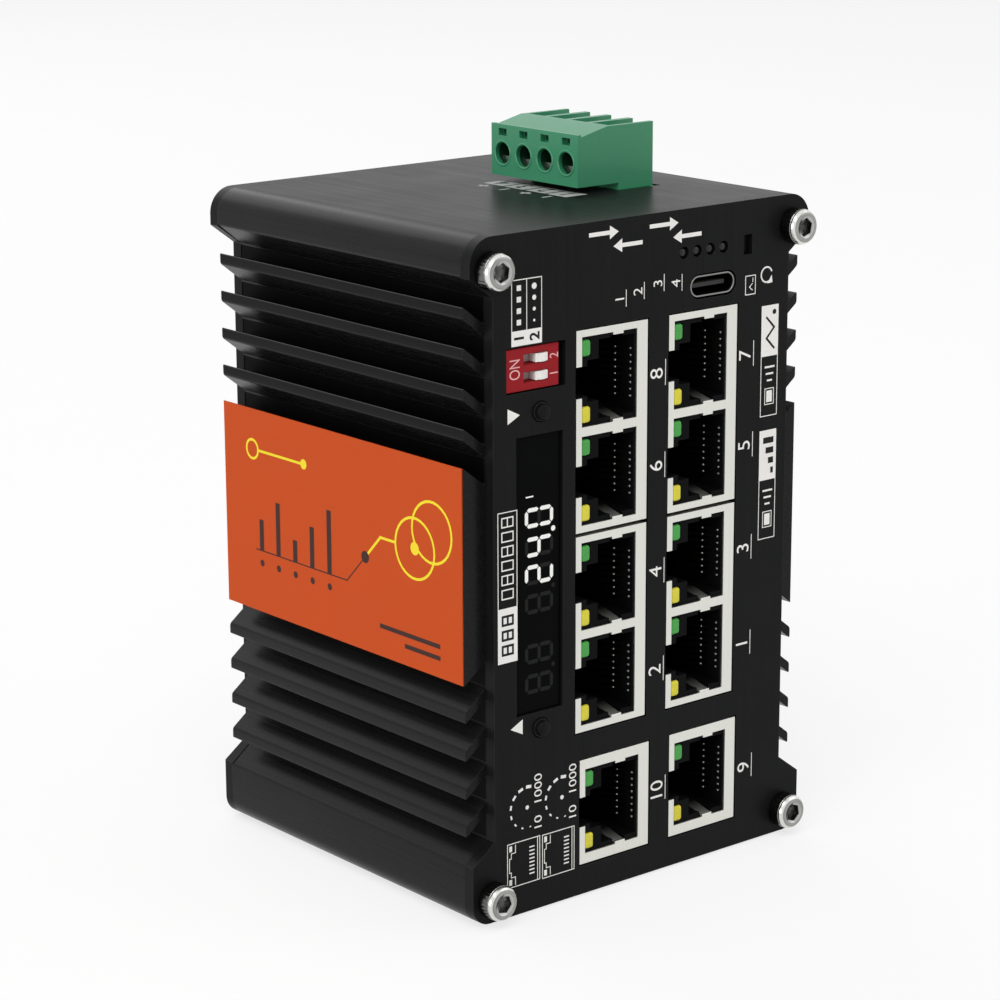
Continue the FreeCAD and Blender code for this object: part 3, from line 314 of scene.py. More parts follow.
class Along(Enum):
    """Direction of the brushing lines."""

    X = 0
    Y = 1
    Z = 2


class Finish(Protocol):
    """Anything that can make a material."""

    name: str

    def make(self) -> bpy.types.Material:
        """Build the material."""


@dataclass(frozen=True)
class Brushed:
    """Metal, bare or anodised, with fine lines along one axis."""

    STRETCH: ClassVar[float] = 120.0
    CLOUDS: ClassVar[float] = 85.0
    SHADED: ClassVar[float] = 0.05
    DEPTH: ClassVar[float] = 0.00004
    name: str
    colour: Colour
    metallic: float
    roughness: float
    specular: float
    along: Along
    spread: float = 0.3
    relief: float = 0.15
    lines: float = 6500.0
    painted_depth_shade: Optional[Point2] = None

    def make(self) -> bpy.types.Material:
        """Build the material, which darkens with depth as painted shade inside a recess, where a
        start and a reach are given.

        Returns:
            The material.
        """
        shader = Shader(self.name)
        scale = [self.lines] * 3
        scale[self.along.value] = self.lines / self.STRETCH
        lines = shader.noise(tuple(scale))
        clouds = shader.noise(self.CLOUDS, 3.0, 7.0)
        colour = shader.mottle(self.colour, self.spread, lines * 0.7 + clouds * 0.3)
        # Painted shade: the colour darkens from the start inwards, over the reach.
        if self.painted_depth_shade is not None:
            start, reach = self.painted_depth_shade
            depth = (shader.part(1) - start * MM) * (1 / (reach * MM))
            colour = shader.blend(colour, shade(self.colour, self.SHADED), depth.limited())
        rough = waver(self.roughness, (lines, 0.14), (clouds, 0.1))
        shader.set(Base_Color=colour, Roughness=rough, Metallic=self.metallic,
                   Specular_IOR_Level=self.specular)
        shader.bump(lines, self.relief, self.DEPTH)
        return shader.material


@dataclass(frozen=True)
class TurnedSteel:
    """Steel of the screws, whose painted light follows the tone of their rings: painted shade where
    it is low, a painted highlight where it is high.
    """

    GRAIN: ClassVar[float] = 5200.0
    CLOUDS: ClassVar[float] = 420.0
    name: str
    dark: Colour
    bright: Colour
    roughness: float
    relief: float = 0.1

    def make(self) -> bpy.types.Material:
        """Build the material.

        Returns:
            The material.
        """
        shader = Shader(self.name)
        grain = shader.noise(self.GRAIN)
        clouds = shader.noise(self.CLOUDS, 2.0, 5.0)
        # The rings' tone paints shade and highlight, with grain and clouds over it.
        painted_light_and_grain = waver(shader.attribute("tone"), (grain, 0.16), (clouds, 0.22))
        rough = waver(self.roughness, (grain, 0.1), (clouds, 0.08))
        shader.set(Base_Color=shader.blend(self.dark, self.bright, painted_light_and_grain.limited()), Metallic=1.0,
                   Roughness=rough)
        shader.bump(grain, self.relief)
        return shader.material


@dataclass(frozen=True)
class Moulded:
    """Plastic, paint, film or ink with a fine grain."""

    CLOUDS: ClassVar[float] = 140.0
    COAT_ROUGHNESS: ClassVar[float] = 0.06
    name: str
    colour: Colour
    roughness: float
    specular: float = 0.5
    grain: float = 3200.0
    relief: float = 0.12
    spread: float = 0.12
    coat: float = 0.0

    def make(self) -> bpy.types.Material:
        """Build the material.

        Returns:
            The material.
        """
        shader = Shader(self.name)
        grain = shader.noise(self.grain)
        clouds = shader.noise(self.CLOUDS, 3.0, 3.0)
        colour = shader.mottle(self.colour, self.spread, grain * 0.45 + clouds * 0.55)
        rough = waver(self.roughness, (grain, 0.08), (clouds, 0.1))
        shader.set(Base_Color=colour, Roughness=rough, Specular_IOR_Level=self.specular,
                   Coat_Weight=self.coat, Coat_Roughness=self.COAT_ROUGHNESS)
        shader.bump(grain, self.relief)
        return shader.material


@dataclass(frozen=True)
class SolderMask:
    """Printed board: green mask over copper traces, with bare pads."""

    name: str
    colour: Colour
    copper: Colour
    raised: float = 1.9
    relief: float = 0.3

    def make(self) -> bpy.types.Material:
        """Build the material.

        Returns:
            The material.
        """
        shader = Shader(self.name)
        across = shader.wave("Z", 260.0, 6.0)
        along = shader.wave("Y", 190.0, 5.0)
        traces = across.above(0.72).at_least(along.above(0.8))
        pads = shader.noise(420.0, 0.0, 11.0).above(0.7)
        mask = shader.blend(self.colour, shade(self.colour, self.raised), traces)
        shader.set(Base_Color=shader.blend(mask, self.copper, pads), Metallic=pads * 0.9,
                   Roughness=0.34 + pads * 0.06)
        shader.bump(traces, self.relief)
        return shader.material


@dataclass(frozen=True)
class PaleFloor:
    """Floor that looks white to the camera and keeps a shadow."""

    name: str
    low: Colour
    high: Colour
    lift: float
    grain: float = 60.0
    roughness: float = 0.9

    def make(self) -> bpy.types.Material:
        """Build the material.

        Returns:
            The material.
        """
        shader = Shader(self.name)
        colour = shader.blend(self.low, self.high, shader.noise(self.grain))
        shader.set(Base_Color=colour, Roughness=self.roughness, Specular_IOR_Level=0.0)
        glow = shader.node("ShaderNodeEmission", None, {"Color": PURE_WHITE, "Strength": 1.0})
        sockets = {0: shader.shown() * self.lift, 1: shader.surface.outputs[0], 2: glow.outputs[0]}
        mixed = shader.node("ShaderNodeMixShader", None, sockets)
        shader.feed(shader.output.inputs["Surface"], mixed.outputs[0])
        return shader.material


@lru_cache(maxsize=None)
def material_of(finish: Finish) -> bpy.types.Material:
    """Material of a finish, made at its first use."""
    return finish.make()


HOUSING = Brushed("housing_anodised", (0.0078, 0.0078, 0.0078, 1), 0.0, 0.27, 0.11, Along.Y, 0.6,
                  0.24, 2200.0)
HOUSING_ROOF = Brushed("housing_roof", (0.0085, 0.0086, 0.009, 1), 0.0, 0.34, 0.05, Along.Y, 0.5,
                       0.3, 1800.0)
# Painted light of the fins: shade on the upper fins' tips and on the roots, and a highlight on the
# upper fins' rims.
FIN_TIP_SHADE = Brushed("fin_tip", (0.0045, 0.0045, 0.0047, 1), 0.0, 0.3, 0.07, Along.Y, 0.4, 0.2,
                  2600.0)
FIN_RIM_HIGHLIGHT = Brushed("fin_rim", (0.03, 0.03, 0.03, 1), 0.0, 0.3, 0.3, Along.Y, 0.4)
FIN_ROOT_SHADE = Brushed("fin_root", (0.0022, 0.0022, 0.0024, 1), 0.0, 0.4, 0.03, Along.Y, 0.4)
# Lighter rounded edges of the housing, as painted highlight.
HOUSING_EDGE_HIGHLIGHT = Brushed("housing_edge", (0.04, 0.04, 0.041, 1), 0.0, 0.3, 0.3, Along.Y)
PANEL = Brushed("panel_anodised", (0.0068, 0.007, 0.0072, 1), 0.0, 0.36, 0.066, Along.Z, 0.5, 0.3,
                2900.0)
# Lighter rounded edges of the end plates, as painted highlight.
PANEL_EDGE_HIGHLIGHT = Brushed("panel_edge", (0.017, 0.017, 0.018, 1), 0.0, 0.32, 0.25, Along.Z)
STEEL = Brushed("spacer_steel", (0.42, 0.415, 0.4, 1), 1.0, 0.28, 0.5, Along.Z, 0.2, 0.1, 3800.0)
SCREW = TurnedSteel("screw_steel", (0.03, 0.03, 0.029, 1), (0.74, 0.74, 0.71, 1), 0.2)
# Tin of the shields, which darkens into the ports as painted shade.
TIN = Brushed("jack_tin", (0.72, 0.72, 0.67, 1), 1.0, 0.42, 0.5, Along.Z, 0.08, 0.05, 4200.0,
              (-31.3, 3.8))
PIN_TIN = Brushed("pin_tin", (0.66, 0.65, 0.62, 1), 1.0, 0.4, 0.5, Along.Z, 0.1)
# Tin of the socket's shell, which darkens into the socket as painted shade.
SOCKET_TIN = Brushed("socket_tin", (0.36, 0.36, 0.35, 1), 1.0, 0.4, 0.5, Along.X, 0.1, 0.05,
                     4200.0, (-31.65, 0.5))
# The contact strips are near black as painted shade; the bends and ends are bright metal that stand
# in for glints on the contacts.
CONTACT_PAINTED_SHADE = Brushed("contact_shaded", (0.003, 0.0027, 0.0022, 1), 1.0, 0.5, 0.5, Along.Y, 0.2)
CONTACT_BEND_GLINT = Brushed("contact_bend", (0.46, 0.45, 0.41, 1), 1.0, 0.36, 0.5, Along.Y, 0.2)
CONTACT_END_GLINT = Brushed("contact_end", (0.3, 0.3, 0.28, 1), 1.0, 0.45, 0.5, Along.Y, 0.2)
GOLD = Brushed("tongue_gold", (0.2, 0.16, 0.09, 1), 1.0, 0.4, 0.5, Along.Y, 0.15)
BARE_METAL = Brushed("bare_aluminium", (0.6, 0.6, 0.62, 1), 1.0, 0.4, 0.5, Along.Y)
SPRING = Brushed("spring_steel", (0.5, 0.5, 0.51, 1), 1.0, 0.3, 0.5, Along.X)
INSERT = Moulded("jack_moulding", (0.0028, 0.003, 0.0033, 1), 0.55, 0.05)
TONGUE = Moulded("tongue_moulding", (0.035, 0.035, 0.036, 1), 0.5, 0.2)
KEYCAP = Moulded("button_moulding", (0.006, 0.006, 0.0065, 1), 0.45, 0.12)
KNOB = Moulded("button_knob", (0.0045, 0.0045, 0.005, 1), 0.42, 0.08)
GREEN_LENS = Moulded("lens_green", srgb(58, 148, 60), 0.28, 0.3, 2600.0, 0.05, 0.18, 0.15)
YELLOW_LENS = Moulded("lens_yellow", srgb(206, 196, 48), 0.28, 0.3, 2600.0, 0.05, 0.14, 0.15)
SMOKED_LENS = Moulded("lens_smoked", (0.005, 0.005, 0.0055, 1), 0.14, 0.25, 2600.0, 0.03, 0.2, 0.2)
RED = Moulded("slide_switch_red", srgb(140, 22, 29), 0.42, 0.12)
WHITE = Moulded("slider_white", srgb(226, 222, 218), 0.45, 0.4)
GLASS = Moulded("display_glass", (0.0021, 0.0023, 0.0023, 1), 0.3, 0.02, 1800.0, 0.02, 0.2)
GREEN = Moulded("terminal_green", srgb(44, 130, 91), 0.42, 0.5, 3000.0, 0.1, 0.1, 0.15)
# Dark green of the entries' walls and the slots' floors, as painted shade.
GREEN_PAINTED_SHADE = Moulded("terminal_green_deep", srgb(18, 52, 34), 0.5, 0.1, 3000.0, 0.1, 0.1)
LABEL = Moulded("label_film", srgb(180, 72, 31), 0.5, 0.04, 4200.0, 0.06, 0.05)
MASK = SolderMask("board_mask", (0.016, 0.12, 0.05, 1), (0.72, 0.58, 0.3, 1))
CHIP = Moulded("chip_compound", (0.014, 0.014, 0.016, 1), 0.5)
PAD = Moulded("pad_soft", (0.3, 0.31, 0.35, 1), 0.8, 0.2, 2000.0, 0.3)
CLIP = Moulded("clip_powder_coat", (0.011, 0.011, 0.0125, 1), 0.5, 0.25, 2200.0, 0.35, 0.2)
PRINT = Moulded("print_white", srgb(226, 224, 220), 0.55, 0.2, 5200.0, 0.05, 0.07)
PRINT_FAINT = Moulded("print_faint", srgb(168, 170, 168), 0.55, 0.1, 5200.0, 0.05, 0.12)
PRINT_ROSE = Moulded("print_rose", srgb(222, 168, 168), 0.5, 0.2, 5200.0, 0.05)
SLOT_PALE = Moulded("slot_pale", srgb(188, 170, 168), 0.5, 0.2, 3200.0, 0.05)
PRINT_DARK = Moulded("print_dark", (0.012, 0.012, 0.013, 1), 0.55, 0.1, 5200.0, 0.05)
LABEL_DARK = Moulded("label_print_dark", srgb(62, 44, 40), 0.5, 0.05, 5200.0, 0.05)
LABEL_YELLOW = Moulded("label_print_yellow", srgb(222, 200, 50), 0.5, 0.05, 5200.0, 0.05)
SEGMENT_LIT = Moulded("segment_lit", srgb(236, 236, 232), 0.5, 0.1, 5200.0, 0.03, 0.04)
SEGMENT_DIM = Moulded("segment_dim", (0.0125, 0.013, 0.013, 1), 0.5, 0.05, 5200.0, 0.03)
FLOOR = PaleFloor("floor_pale", (0.9, 0.9, 0.9, 1), (0.93, 0.93, 0.93, 1), 0.72)


def settle(obj: bpy.types.Object, body: str,
           replaced: Iterable[str] = ()) -> bpy.types.Object:
    """Let a finished piece ride on a body and report it.

    Args:
        obj: The piece, at the origin.
        body: Name of the body that carries it.
        replaced: Nodes that the piece stands for.

    Returns:
        The piece.
    """
    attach(obj, body)
    names = list(replaced)
    if names:
        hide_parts(*names)
    LOG.info("%s: %d faces on %s", obj.name, len(obj.data.polygons), body)
    return obj


def add_finish(mesh: bpy.types.Mesh, finish: Finish) -> int:
    """Add a finish to a mesh and give its number there."""
    mesh.materials.append(material_of(finish))
    return len(mesh.materials) - 1


def dress(finish: Finish, *nodes: str) -> None:
    """Give nodes of the frame their material.

    Args:
        finish: The finish.
        nodes: Names of the nodes.
    """
    for node in nodes:
        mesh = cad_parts[node].data
        mesh.materials.clear()
        add_finish(mesh, finish)
        LOG.info("%s: %s", node, finish.name)


def link_object(name: str, mesh: bpy.types.Mesh, finishes: Sequence[Finish]) -> bpy.types.Object:
    """Put a mesh in the scene.

    Args:
        name: Name of the object.
        mesh: Its mesh, in metres.
        finishes: Finishes of its material slots.

    Returns:
        The object, at the origin.
    """
    mesh.name = name
    mesh.materials.clear()
    for finish in finishes:
        add_finish(mesh, finish)
    obj = bpy.data.objects.new(name, mesh)
    bpy.context.scene.collection.objects.link(obj)
    return obj


def settle_modifiers(obj: bpy.types.Object) -> None:
    """Turn an object with modifiers into a plain mesh.

    Args:
        obj: The object, whose modifiers are then removed.
    """
    graph = bpy.context.evaluated_depsgraph_get()
    plain = bpy.data.meshes.new_from_object(obj.evaluated_get(graph))
    obj.modifiers.clear()
    plain.name = obj.name
    obj.data = plain


def smooth_by_angle(mesh: bpy.types.Mesh, degrees: float) -> None:
    """Shade a mesh smooth apart from edges sharper than an angle."""
    mesh.shade_smooth()
    mesh.set_sharp_from_angle(angle=math.radians(degrees))


def is_sharp(edge: bmesh.types.BMEdge) -> bool:
    """Whether an edge is sharp enough to be rounded."""
    return edge.calc_face_angle(0.0) > math.radians(SHARP_DEGREES)


def rounded_copy(node: str, width: float, finish: Finish, body: str = "case",
                 steps: int = 2, edge: Optional[Finish] = None, runs: Optional[EdgeTest] = None,
                 run_width: float = 0.0) -> bpy.types.Object:
    """Stand in for a node with a copy whose sharp edges are rounded.

    Args:
        node: Name of the node.
        width: Width of the rounding in millimetres.
        finish: Finish of the piece.
        body: Body that carries it.
        steps: Faces across a rounded edge.
        edge: Finish of the rounded edges, where it differs; the case's pieces give them a lighter
            one as a painted highlight.
        runs: Test for edges that get a rounding of their own first, in the plain finish.
        run_width: Width of that rounding in millimetres.

    Returns:
        The piece that replaces the node.
    """
    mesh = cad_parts[node].data.copy()
    work = bmesh.new()
    work.from_mesh(mesh)
    bmesh.ops.remove_doubles(work, verts=work.verts, dist=MERGE)
    bmesh.ops.dissolve_limit(work, angle_limit=math.radians(FLAT_DEGREES), verts=work.verts,
                             edges=work.edges)
    if runs is not None:
        chosen = [line for line in work.edges if is_sharp(line) and runs(line)]
        bmesh.ops.bevel(work, geom=chosen, offset=run_width * MM, offset_type="OFFSET",
                        segments=RUN_STEPS, profile=0.5, affect="EDGES", clamp_overlap=True,
                        material=-1)
    work.to_mesh(mesh)
    work.free()
    for name in ("custom_normal", "UVMap"):
        layer = mesh.attributes.get(name)
        if layer is not None:
            mesh.attributes.remove(layer)
    obj = link_object(f"{node}_rounded", mesh, [finish] if edge is None else [finish, edge])
    bevel = obj.modifiers.new("rounding", "BEVEL")
    bevel.width = width * MM
    bevel.segments = steps
    bevel.limit_method = "ANGLE"
    bevel.angle_limit = math.radians(SHARP_DEGREES)
    bevel.harden_normals = True
    bevel.material = -1 if edge is None else 1
    smooth_by_angle(mesh, SMOOTH_DEGREES)
    settle_modifiers(obj)
    return settle(obj, body, [node])


class Way(Enum):
    """Direction in which a turned piece points."""

    FRONT = (0, -1, 0)
    BACK = (0, 1, 0)
    LEFT = (-1, 0, 0)


class Ring(NamedTuple):
    """Ring of a turned piece: height along the axis, radius, plain or by angle, and tone of painted
    light.
    """

    height: float
    radius: Radius
    tone: float = 0.5


class Piece:
    """Gathers faces in millimetres and becomes one object."""

    def __init__(self, name: str) -> None:
        """Start an empty piece with the later object's name."""
        self.name = name
        self.mesh = bmesh.new()

    def corner(self, point: Sequence[float]) -> bmesh.types.BMVert:
        """Add one corner."""
        return self.mesh.verts.new(Vector(point) * MM)

    def face(self, points: Sequence[Sequence[float]]) -> None:
        """Add one face with corners of its own."""
        self.mesh.faces.new([self.corner(point) for point in points])

    def prism(self, points: Sequence[Sequence[float]], depth: Sequence[float]) -> None:
        """Add a closed prism, from its base's corners and the way to its other end."""
        ends = (Vector((0, 0, 0)), Vector(depth))
        self.skin([[self.corner(Vector(point) + end) for point in points] for end in ends], False)

    def turned(self, rings: Sequence[Ring], count: int, way: Way, closed: bool) -> None:
        """Add a solid turned round an axis.

        Args:
            rings: Its rings from end to end.
            count: Corners of a ring.
            way: Direction of the axis, in which the rings' heights run.
            closed: Whether the last ring joins the first, instead of two end caps.
        """
        axis = Vector(way.value)
        across = Vector((0, 0, 1)).cross(axis)
        upward = axis.cross(across)
        # Tone of painted light, from shade at 0 to highlight at 1, which the screws' steel reads.
        layer = self.mesh.verts.layers.float.new("tone")
        loops = []
        for ring in rings:
            loop = []
            for step in range(count):
                angle = 2 * math.pi * step / count
                reach = ring.radius(angle) if callable(ring.radius) else ring.radius
                arm = across * math.cos(angle) + upward * math.sin(angle)
                corner = self.corner(axis * ring.height + arm * reach)
                corner[layer] = ring.tone
                loop.append(corner)
            loops.append(loop)
        self.skin(loops, closed)

    def skin(self, loops: Sequence[Sequence[bmesh.types.BMVert]], closed: bool) -> None:
        """Join loops of corners by faces that point outwards.

        Args:
            loops: Loops of equally many corners, from end to end.
            closed: Whether the last loop joins the first, instead of two end caps.
        """
        pairs = list(zip(loops, loops[1:]))
        if closed:
            pairs.append((loops[-1], loops[0]))
        for first, second in pairs:
            for n, corner in enumerate(first):
                following = (n + 1) % len(first)
                loop = [corner, first[following], second[following], second[n]]
                self.mesh.faces.new(loop)
        if not closed:
            for loop in (loops[0], loops[-1]):
                self.mesh.faces.new(loop)
        bmesh.ops.recalc_face_normals(self.mesh, faces=self.mesh.faces)

    def done(self, finish: Finish, smooth: float = 30.0) -> bpy.types.Object:
        """Turn the piece into an object.

        Args:
            finish: Its finish.
            smooth: Edges sharper than this angle stay sharp.

        Returns:
            The object, at the origin.
        """
        mesh = bpy.data.meshes.new(self.name)
        self.mesh.to_mesh(mesh)
        self.mesh.free()
        smooth_by_angle(mesh, smooth)
        return link_object(self.name, mesh, [finish])


def turned_piece(name: str, rings: Iterable[Sequence[Radius]], count: int, way: Way,
                 finish: Finish, smooth: float, closed: bool = False) -> bpy.types.Object:
    """Make one turned piece.

    Args:
        name: Its name.
        rings: Height, radius and, where it has one, tone of each ring.
        count: Corners of a ring.
        way: Direction in which it points.
        finish: Its finish.
        smooth: Edges sharper than this angle stay sharp.
        closed: Whether it is a collar, without end caps.

    Returns:
        The object, at the origin.
    """
    piece = Piece(name)
    piece.turned([Ring(*ring) for ring in rings], count, way, closed)
    return piece.done(finish, smooth)


def hexagon_radius(radius: float) -> Radius:
    """Radius of a hexagon of that corner radius at an angle."""
    flat = radius * math.cos(math.pi / 6)
    return lambda angle: flat / math.cos((angle % (math.pi / 3)) - math.pi / 6)


def knurled_radius(radius: float, teeth: int, depth: float) -> Radius:
    """Radius of a rim with teeth at an angle."""
    return lambda angle: radius - depth * (0.5 - 0.5 * math.cos(teeth * angle))


class RepeatTree(NodeTree):
    """Geometry tree that sets a piece on every point of a mesh."""

    INPUTS: ClassVar[dict[str, str]] = {
        "Points": "NodeSocketGeometry", "Piece": "NodeSocketObject",
        "Finish": "NodeSocketMaterial", "Turn": "NodeSocketFloat", "Seed": "NodeSocketInt"}

    def __init__(self, name: str) -> None:
        """Build the tree with its named inputs.

        Args:
            name: Name of the tree.
        """
        super().__init__(bpy.data.node_groups.new(name, "GeometryNodeTree"))
        make = self.tree.interface.new_socket
        make("Geometry", in_out="OUTPUT", socket_type="NodeSocketGeometry")
        self.sockets: dict[str, str] = {}
        for key, kind in self.INPUTS.items():
            self.sockets[key] = make(key, in_out="INPUT", socket_type=kind).identifier
        self._wire()

    def _wire(self) -> None:
        """Add the nodes and their links."""
        start = self.node("NodeGroupInput").outputs
        piece = self.node("GeometryNodeObjectInfo", None, {"Object": start["Piece"]})
        lowest = self.node("ShaderNodeMath", {"operation": "MULTIPLY"}, {0: start["Turn"], 1: -1.0})
        sockets = {2: lowest.outputs[0], 3: start["Turn"], "Seed": start["Seed"]}
        chance = self.node("FunctionNodeRandomValue", {"data_type": "FLOAT"}, sockets)
        vector = self.node("ShaderNodeCombineXYZ", None, {1: chance.outputs[1]})
        turn = self.node("FunctionNodeEulerToRotation", None, {0: vector.outputs[0]})
        sockets = {"Points": start["Points"], "Instance": piece.outputs["Geometry"],
                   "Rotation": turn.outputs[0]}
        spread = self.node("GeometryNodeInstanceOnPoints", None, sockets)
        whole = self.node("GeometryNodeRealizeInstances", None, {0: spread.outputs[0]})
        sockets = {"Geometry": whole.outputs[0], "Material": start["Finish"]}
        finish = self.node("GeometryNodeSetMaterial", None, sockets)
        self.node("NodeGroupOutput", None, {0: finish.outputs[0]})

    def repeat(self, source: bpy.types.Object, places: Sequence[Point3], name: str,
               finish: Finish, slot: str, body: str = "case", replaced: Iterable[str] = (),
               turn: float = 0.0, seed: int = 1) -> None:
        """Set a piece on every place and keep the result as one plain mesh.

        Args:
            source: The piece, which is then removed.
            places: Places in millimetres.
            name: Name of the result.
            finish: Its finish.
            slot: Not used.
            body: Body that carries it.
            replaced: Nodes that the result stands for.
            turn: Largest random turn about the Y axis, in radians.
            seed: Seed of the turns.
        """
        mesh = bpy.data.meshes.new(name)
        mesh.from_pydata([Vector(place) * MM for place in places], [], [])
        obj = link_object(name, mesh, [finish])
        modifier = obj.modifiers.new("repeat", "NODES")
        modifier.node_group = self.tree
        values = {"Piece": source, "Finish": material_of(finish), "Turn": turn, "Seed": seed}
        for key, value in values.items():
            modifier[self.sockets[key]] = value
        settle_modifiers(obj)
        bpy.data.objects.remove(source)
        settle(obj, body, replaced)


REPEAT = RepeatTree("repeat_on_points")


class Surface(Enum):
    """Flat faces of the case that carry print, as the two axes of the drawing."""

    FRONT = ((1, 0, 0), (0, 0, 1))
    TOP = ((1, 0, 0), (0, 1, 0))
    LEFT = ((0, -1, 0), (0, 0, 1))


class Print:
    """Flat shapes in one ink on a face, drawn in millimetres, each a hair above the one before."""

    LIFT: ClassVar[float] = 0.02
    LAYER: ClassVar[float] = 0.0003
    LAYERS: ClassVar[int] = 50
    FIGURE_SHARE: ClassVar[float] = 0.7
    FIGURE_TURN: ClassVar[float] = 90.0
    STEP_DEGREES: ClassVar[float] = 12.0
    FEWEST_STEPS: ClassVar[int] = 6
    MERGE: ClassVar[float] = 1e-7

    def __init__(self, name: str, surface: Surface, level: Point3) -> None:
        """Start a drawing.

        Args:
            name: Name of the later object.
            surface: The face that carries it.
            level: A point of the drawing's plane whose two drawn coordinates are zero.
        """
        self.piece = Piece(name)
        self.across, self.upward = (Vector(axis) for axis in surface.value)
        self.level = Vector(level)
        self.drawn = 0

    def fill(self, points: Sequence[Point2]) -> None:
        """Fill an outline, given anticlockwise, on the present layer."""
        lift = self.across.cross(self.upward) * (self.drawn % self.LAYERS * self.LAYER)
        self.piece.face([self.level + lift + self.across * x + self.upward * y for x, y in points])

    def shape(self, points: Sequence[Point2]) -> None:
        """Add a filled outline, given anticlockwise."""
        self.drawn += 1
        self.fill(points)

    def rect(self, low: Point2, high: Point2) -> None:
        """Add a filled rectangle."""
        self.shape([low, (high[0], low[1]), high, (low[0], high[1])])

    def frame(self, low: Point2, high: Point2, line: float) -> None:
        """Add the outline of a rectangle.

        Args:
            low: Lowest corner.
            high: Highest corner.
            line: Width of the line, inside the corners.
        """
        self.rect(low, (high[0], low[1] + line))
        self.rect((low[0], high[1] - line), high)
        self.rect((low[0], low[1] + line), (low[0] + line, high[1] - line))
        self.rect((high[0] - line, low[1] + line), (high[0], high[1] - line))

    def pointer(self, base: Point2, length: float, half: float) -> None:
        """Add a triangle that points along the first axis.

        Args:
            base: Middle of its base.
            length: Its length, below zero where it points back.
            half: Half of its base.
        """
        x, y = base
        corners = [(x, y - half), (x + length, y), (x, y + half)]
        self.shape(corners if length > 0 else corners[::-1])

    def disc(self, middle: Point2, radius: float, count: int = 20) -> None:
        """Add a filled circle of so many corners."""
        self.shape([around(middle, radius, 360.0 * step / count) for step in range(count)])

    def ring(self, middle: Point2, radius: float, line: float, start: float = 0.0,
             end: float = 360.0) -> None:
        """Add a ring or part of one.

        Args:
            middle: Its middle.
            radius: Radius of the middle of the line.
            line: Width of the line.
            start: First angle in degrees.
            end: Last angle in degrees.
        """
        self.drawn += 1
        count = max(self.FEWEST_STEPS, int((end - start) / self.STEP_DEGREES))
        for step in range(count):
            corners = []
            for turn, reach in ((step, -1), (step, 1), (step + 1, 1), (step + 1, -1)):
                degrees = start + (end - start) * turn / count
                corners.append(around(middle, radius + reach * line / 2, degrees))
            self.fill(corners)

    def line(self, start: Point2, end: Point2, width: float) -> None:
        """Add a straight line with square ends.

        Args:
            start: Its first point.
            end: Its last point.
            width: Its width, by half of which the ends go on.
        """
        first, last = Vector(start), Vector(end)
        way = (last - first).normalized() * width / 2
        side = Vector((-way.y, way.x))
        corners = (first - way - side, last + way - side, last + way + side, first - way + side)
        self.shape([(corner.x, corner.y) for corner in corners])

    def path(self, points: Sequence[Point2], width: float) -> None:
        """Add a line through several points."""
        for start, end in zip(points, points[1:]):
            self.line(start, end, width)

    def text(self, words: str, middle: Point2, height: float, stretch: float = 1.0,
             weight: float = 0.0) -> None:
        """Add figures in a plain face that read upwards.

        Args:
            words: What is written.
            middle: Middle of the text.
            height: Height of a figure.
            stretch: Width of the figures compared with the plain face.
            weight: Growth of the strokes, as a share of the face's size.
        """
        curve = bpy.data.curves.new("figures", "FONT")
        curve.body = words
        curve.offset = weight
        holder = bpy.data.objects.new("figures", curve)
        bpy.context.scene.collection.objects.link(holder)
        graph = bpy.context.evaluated_depsgraph_get()
        mesh = bpy.data.meshes.new_from_object(holder.evaluated_get(graph))
        spots = [vertex.co.xy for vertex in mesh.vertices]
        low = Vector((min(p.x for p in spots), min(p.y for p in spots)))
        high = Vector((max(p.x for p in spots), max(p.y for p in spots)))
        scale = height / self.FIGURE_SHARE
        rotation = Matrix.Rotation(math.radians(self.FIGURE_TURN), 2)
        centre = (low + high) / 2
        placed = []
        for spot in spots:
            offset = spot - centre
            turned = rotation @ Vector((offset.x * stretch, offset.y)) * scale
            placed.append((middle[0] + turned.x, middle[1] + turned.y))
        self.drawn += 1
        for polygon in mesh.polygons:
            corners = [placed[n] for n in polygon.vertices]
            pairs = zip(corners, corners[1:] + corners[:1])
            area = sum(a[0] * b[1] - b[0] * a[1] for a, b in pairs)
            self.fill(corners if area > 0 else corners[::-1])
        bpy.data.objects.remove(holder)
        bpy.data.curves.remove(curve)
        bpy.data.meshes.remove(mesh)

    def done(self, finish: Finish, slot: str, body: str = "case") -> None:
        """Set the print on its face, in an ink and on its carrier's body."""
        bmesh.ops.remove_doubles(self.piece.mesh, verts=self.piece.mesh.verts, dist=self.MERGE)
        settle(self.piece.done(finish), body)


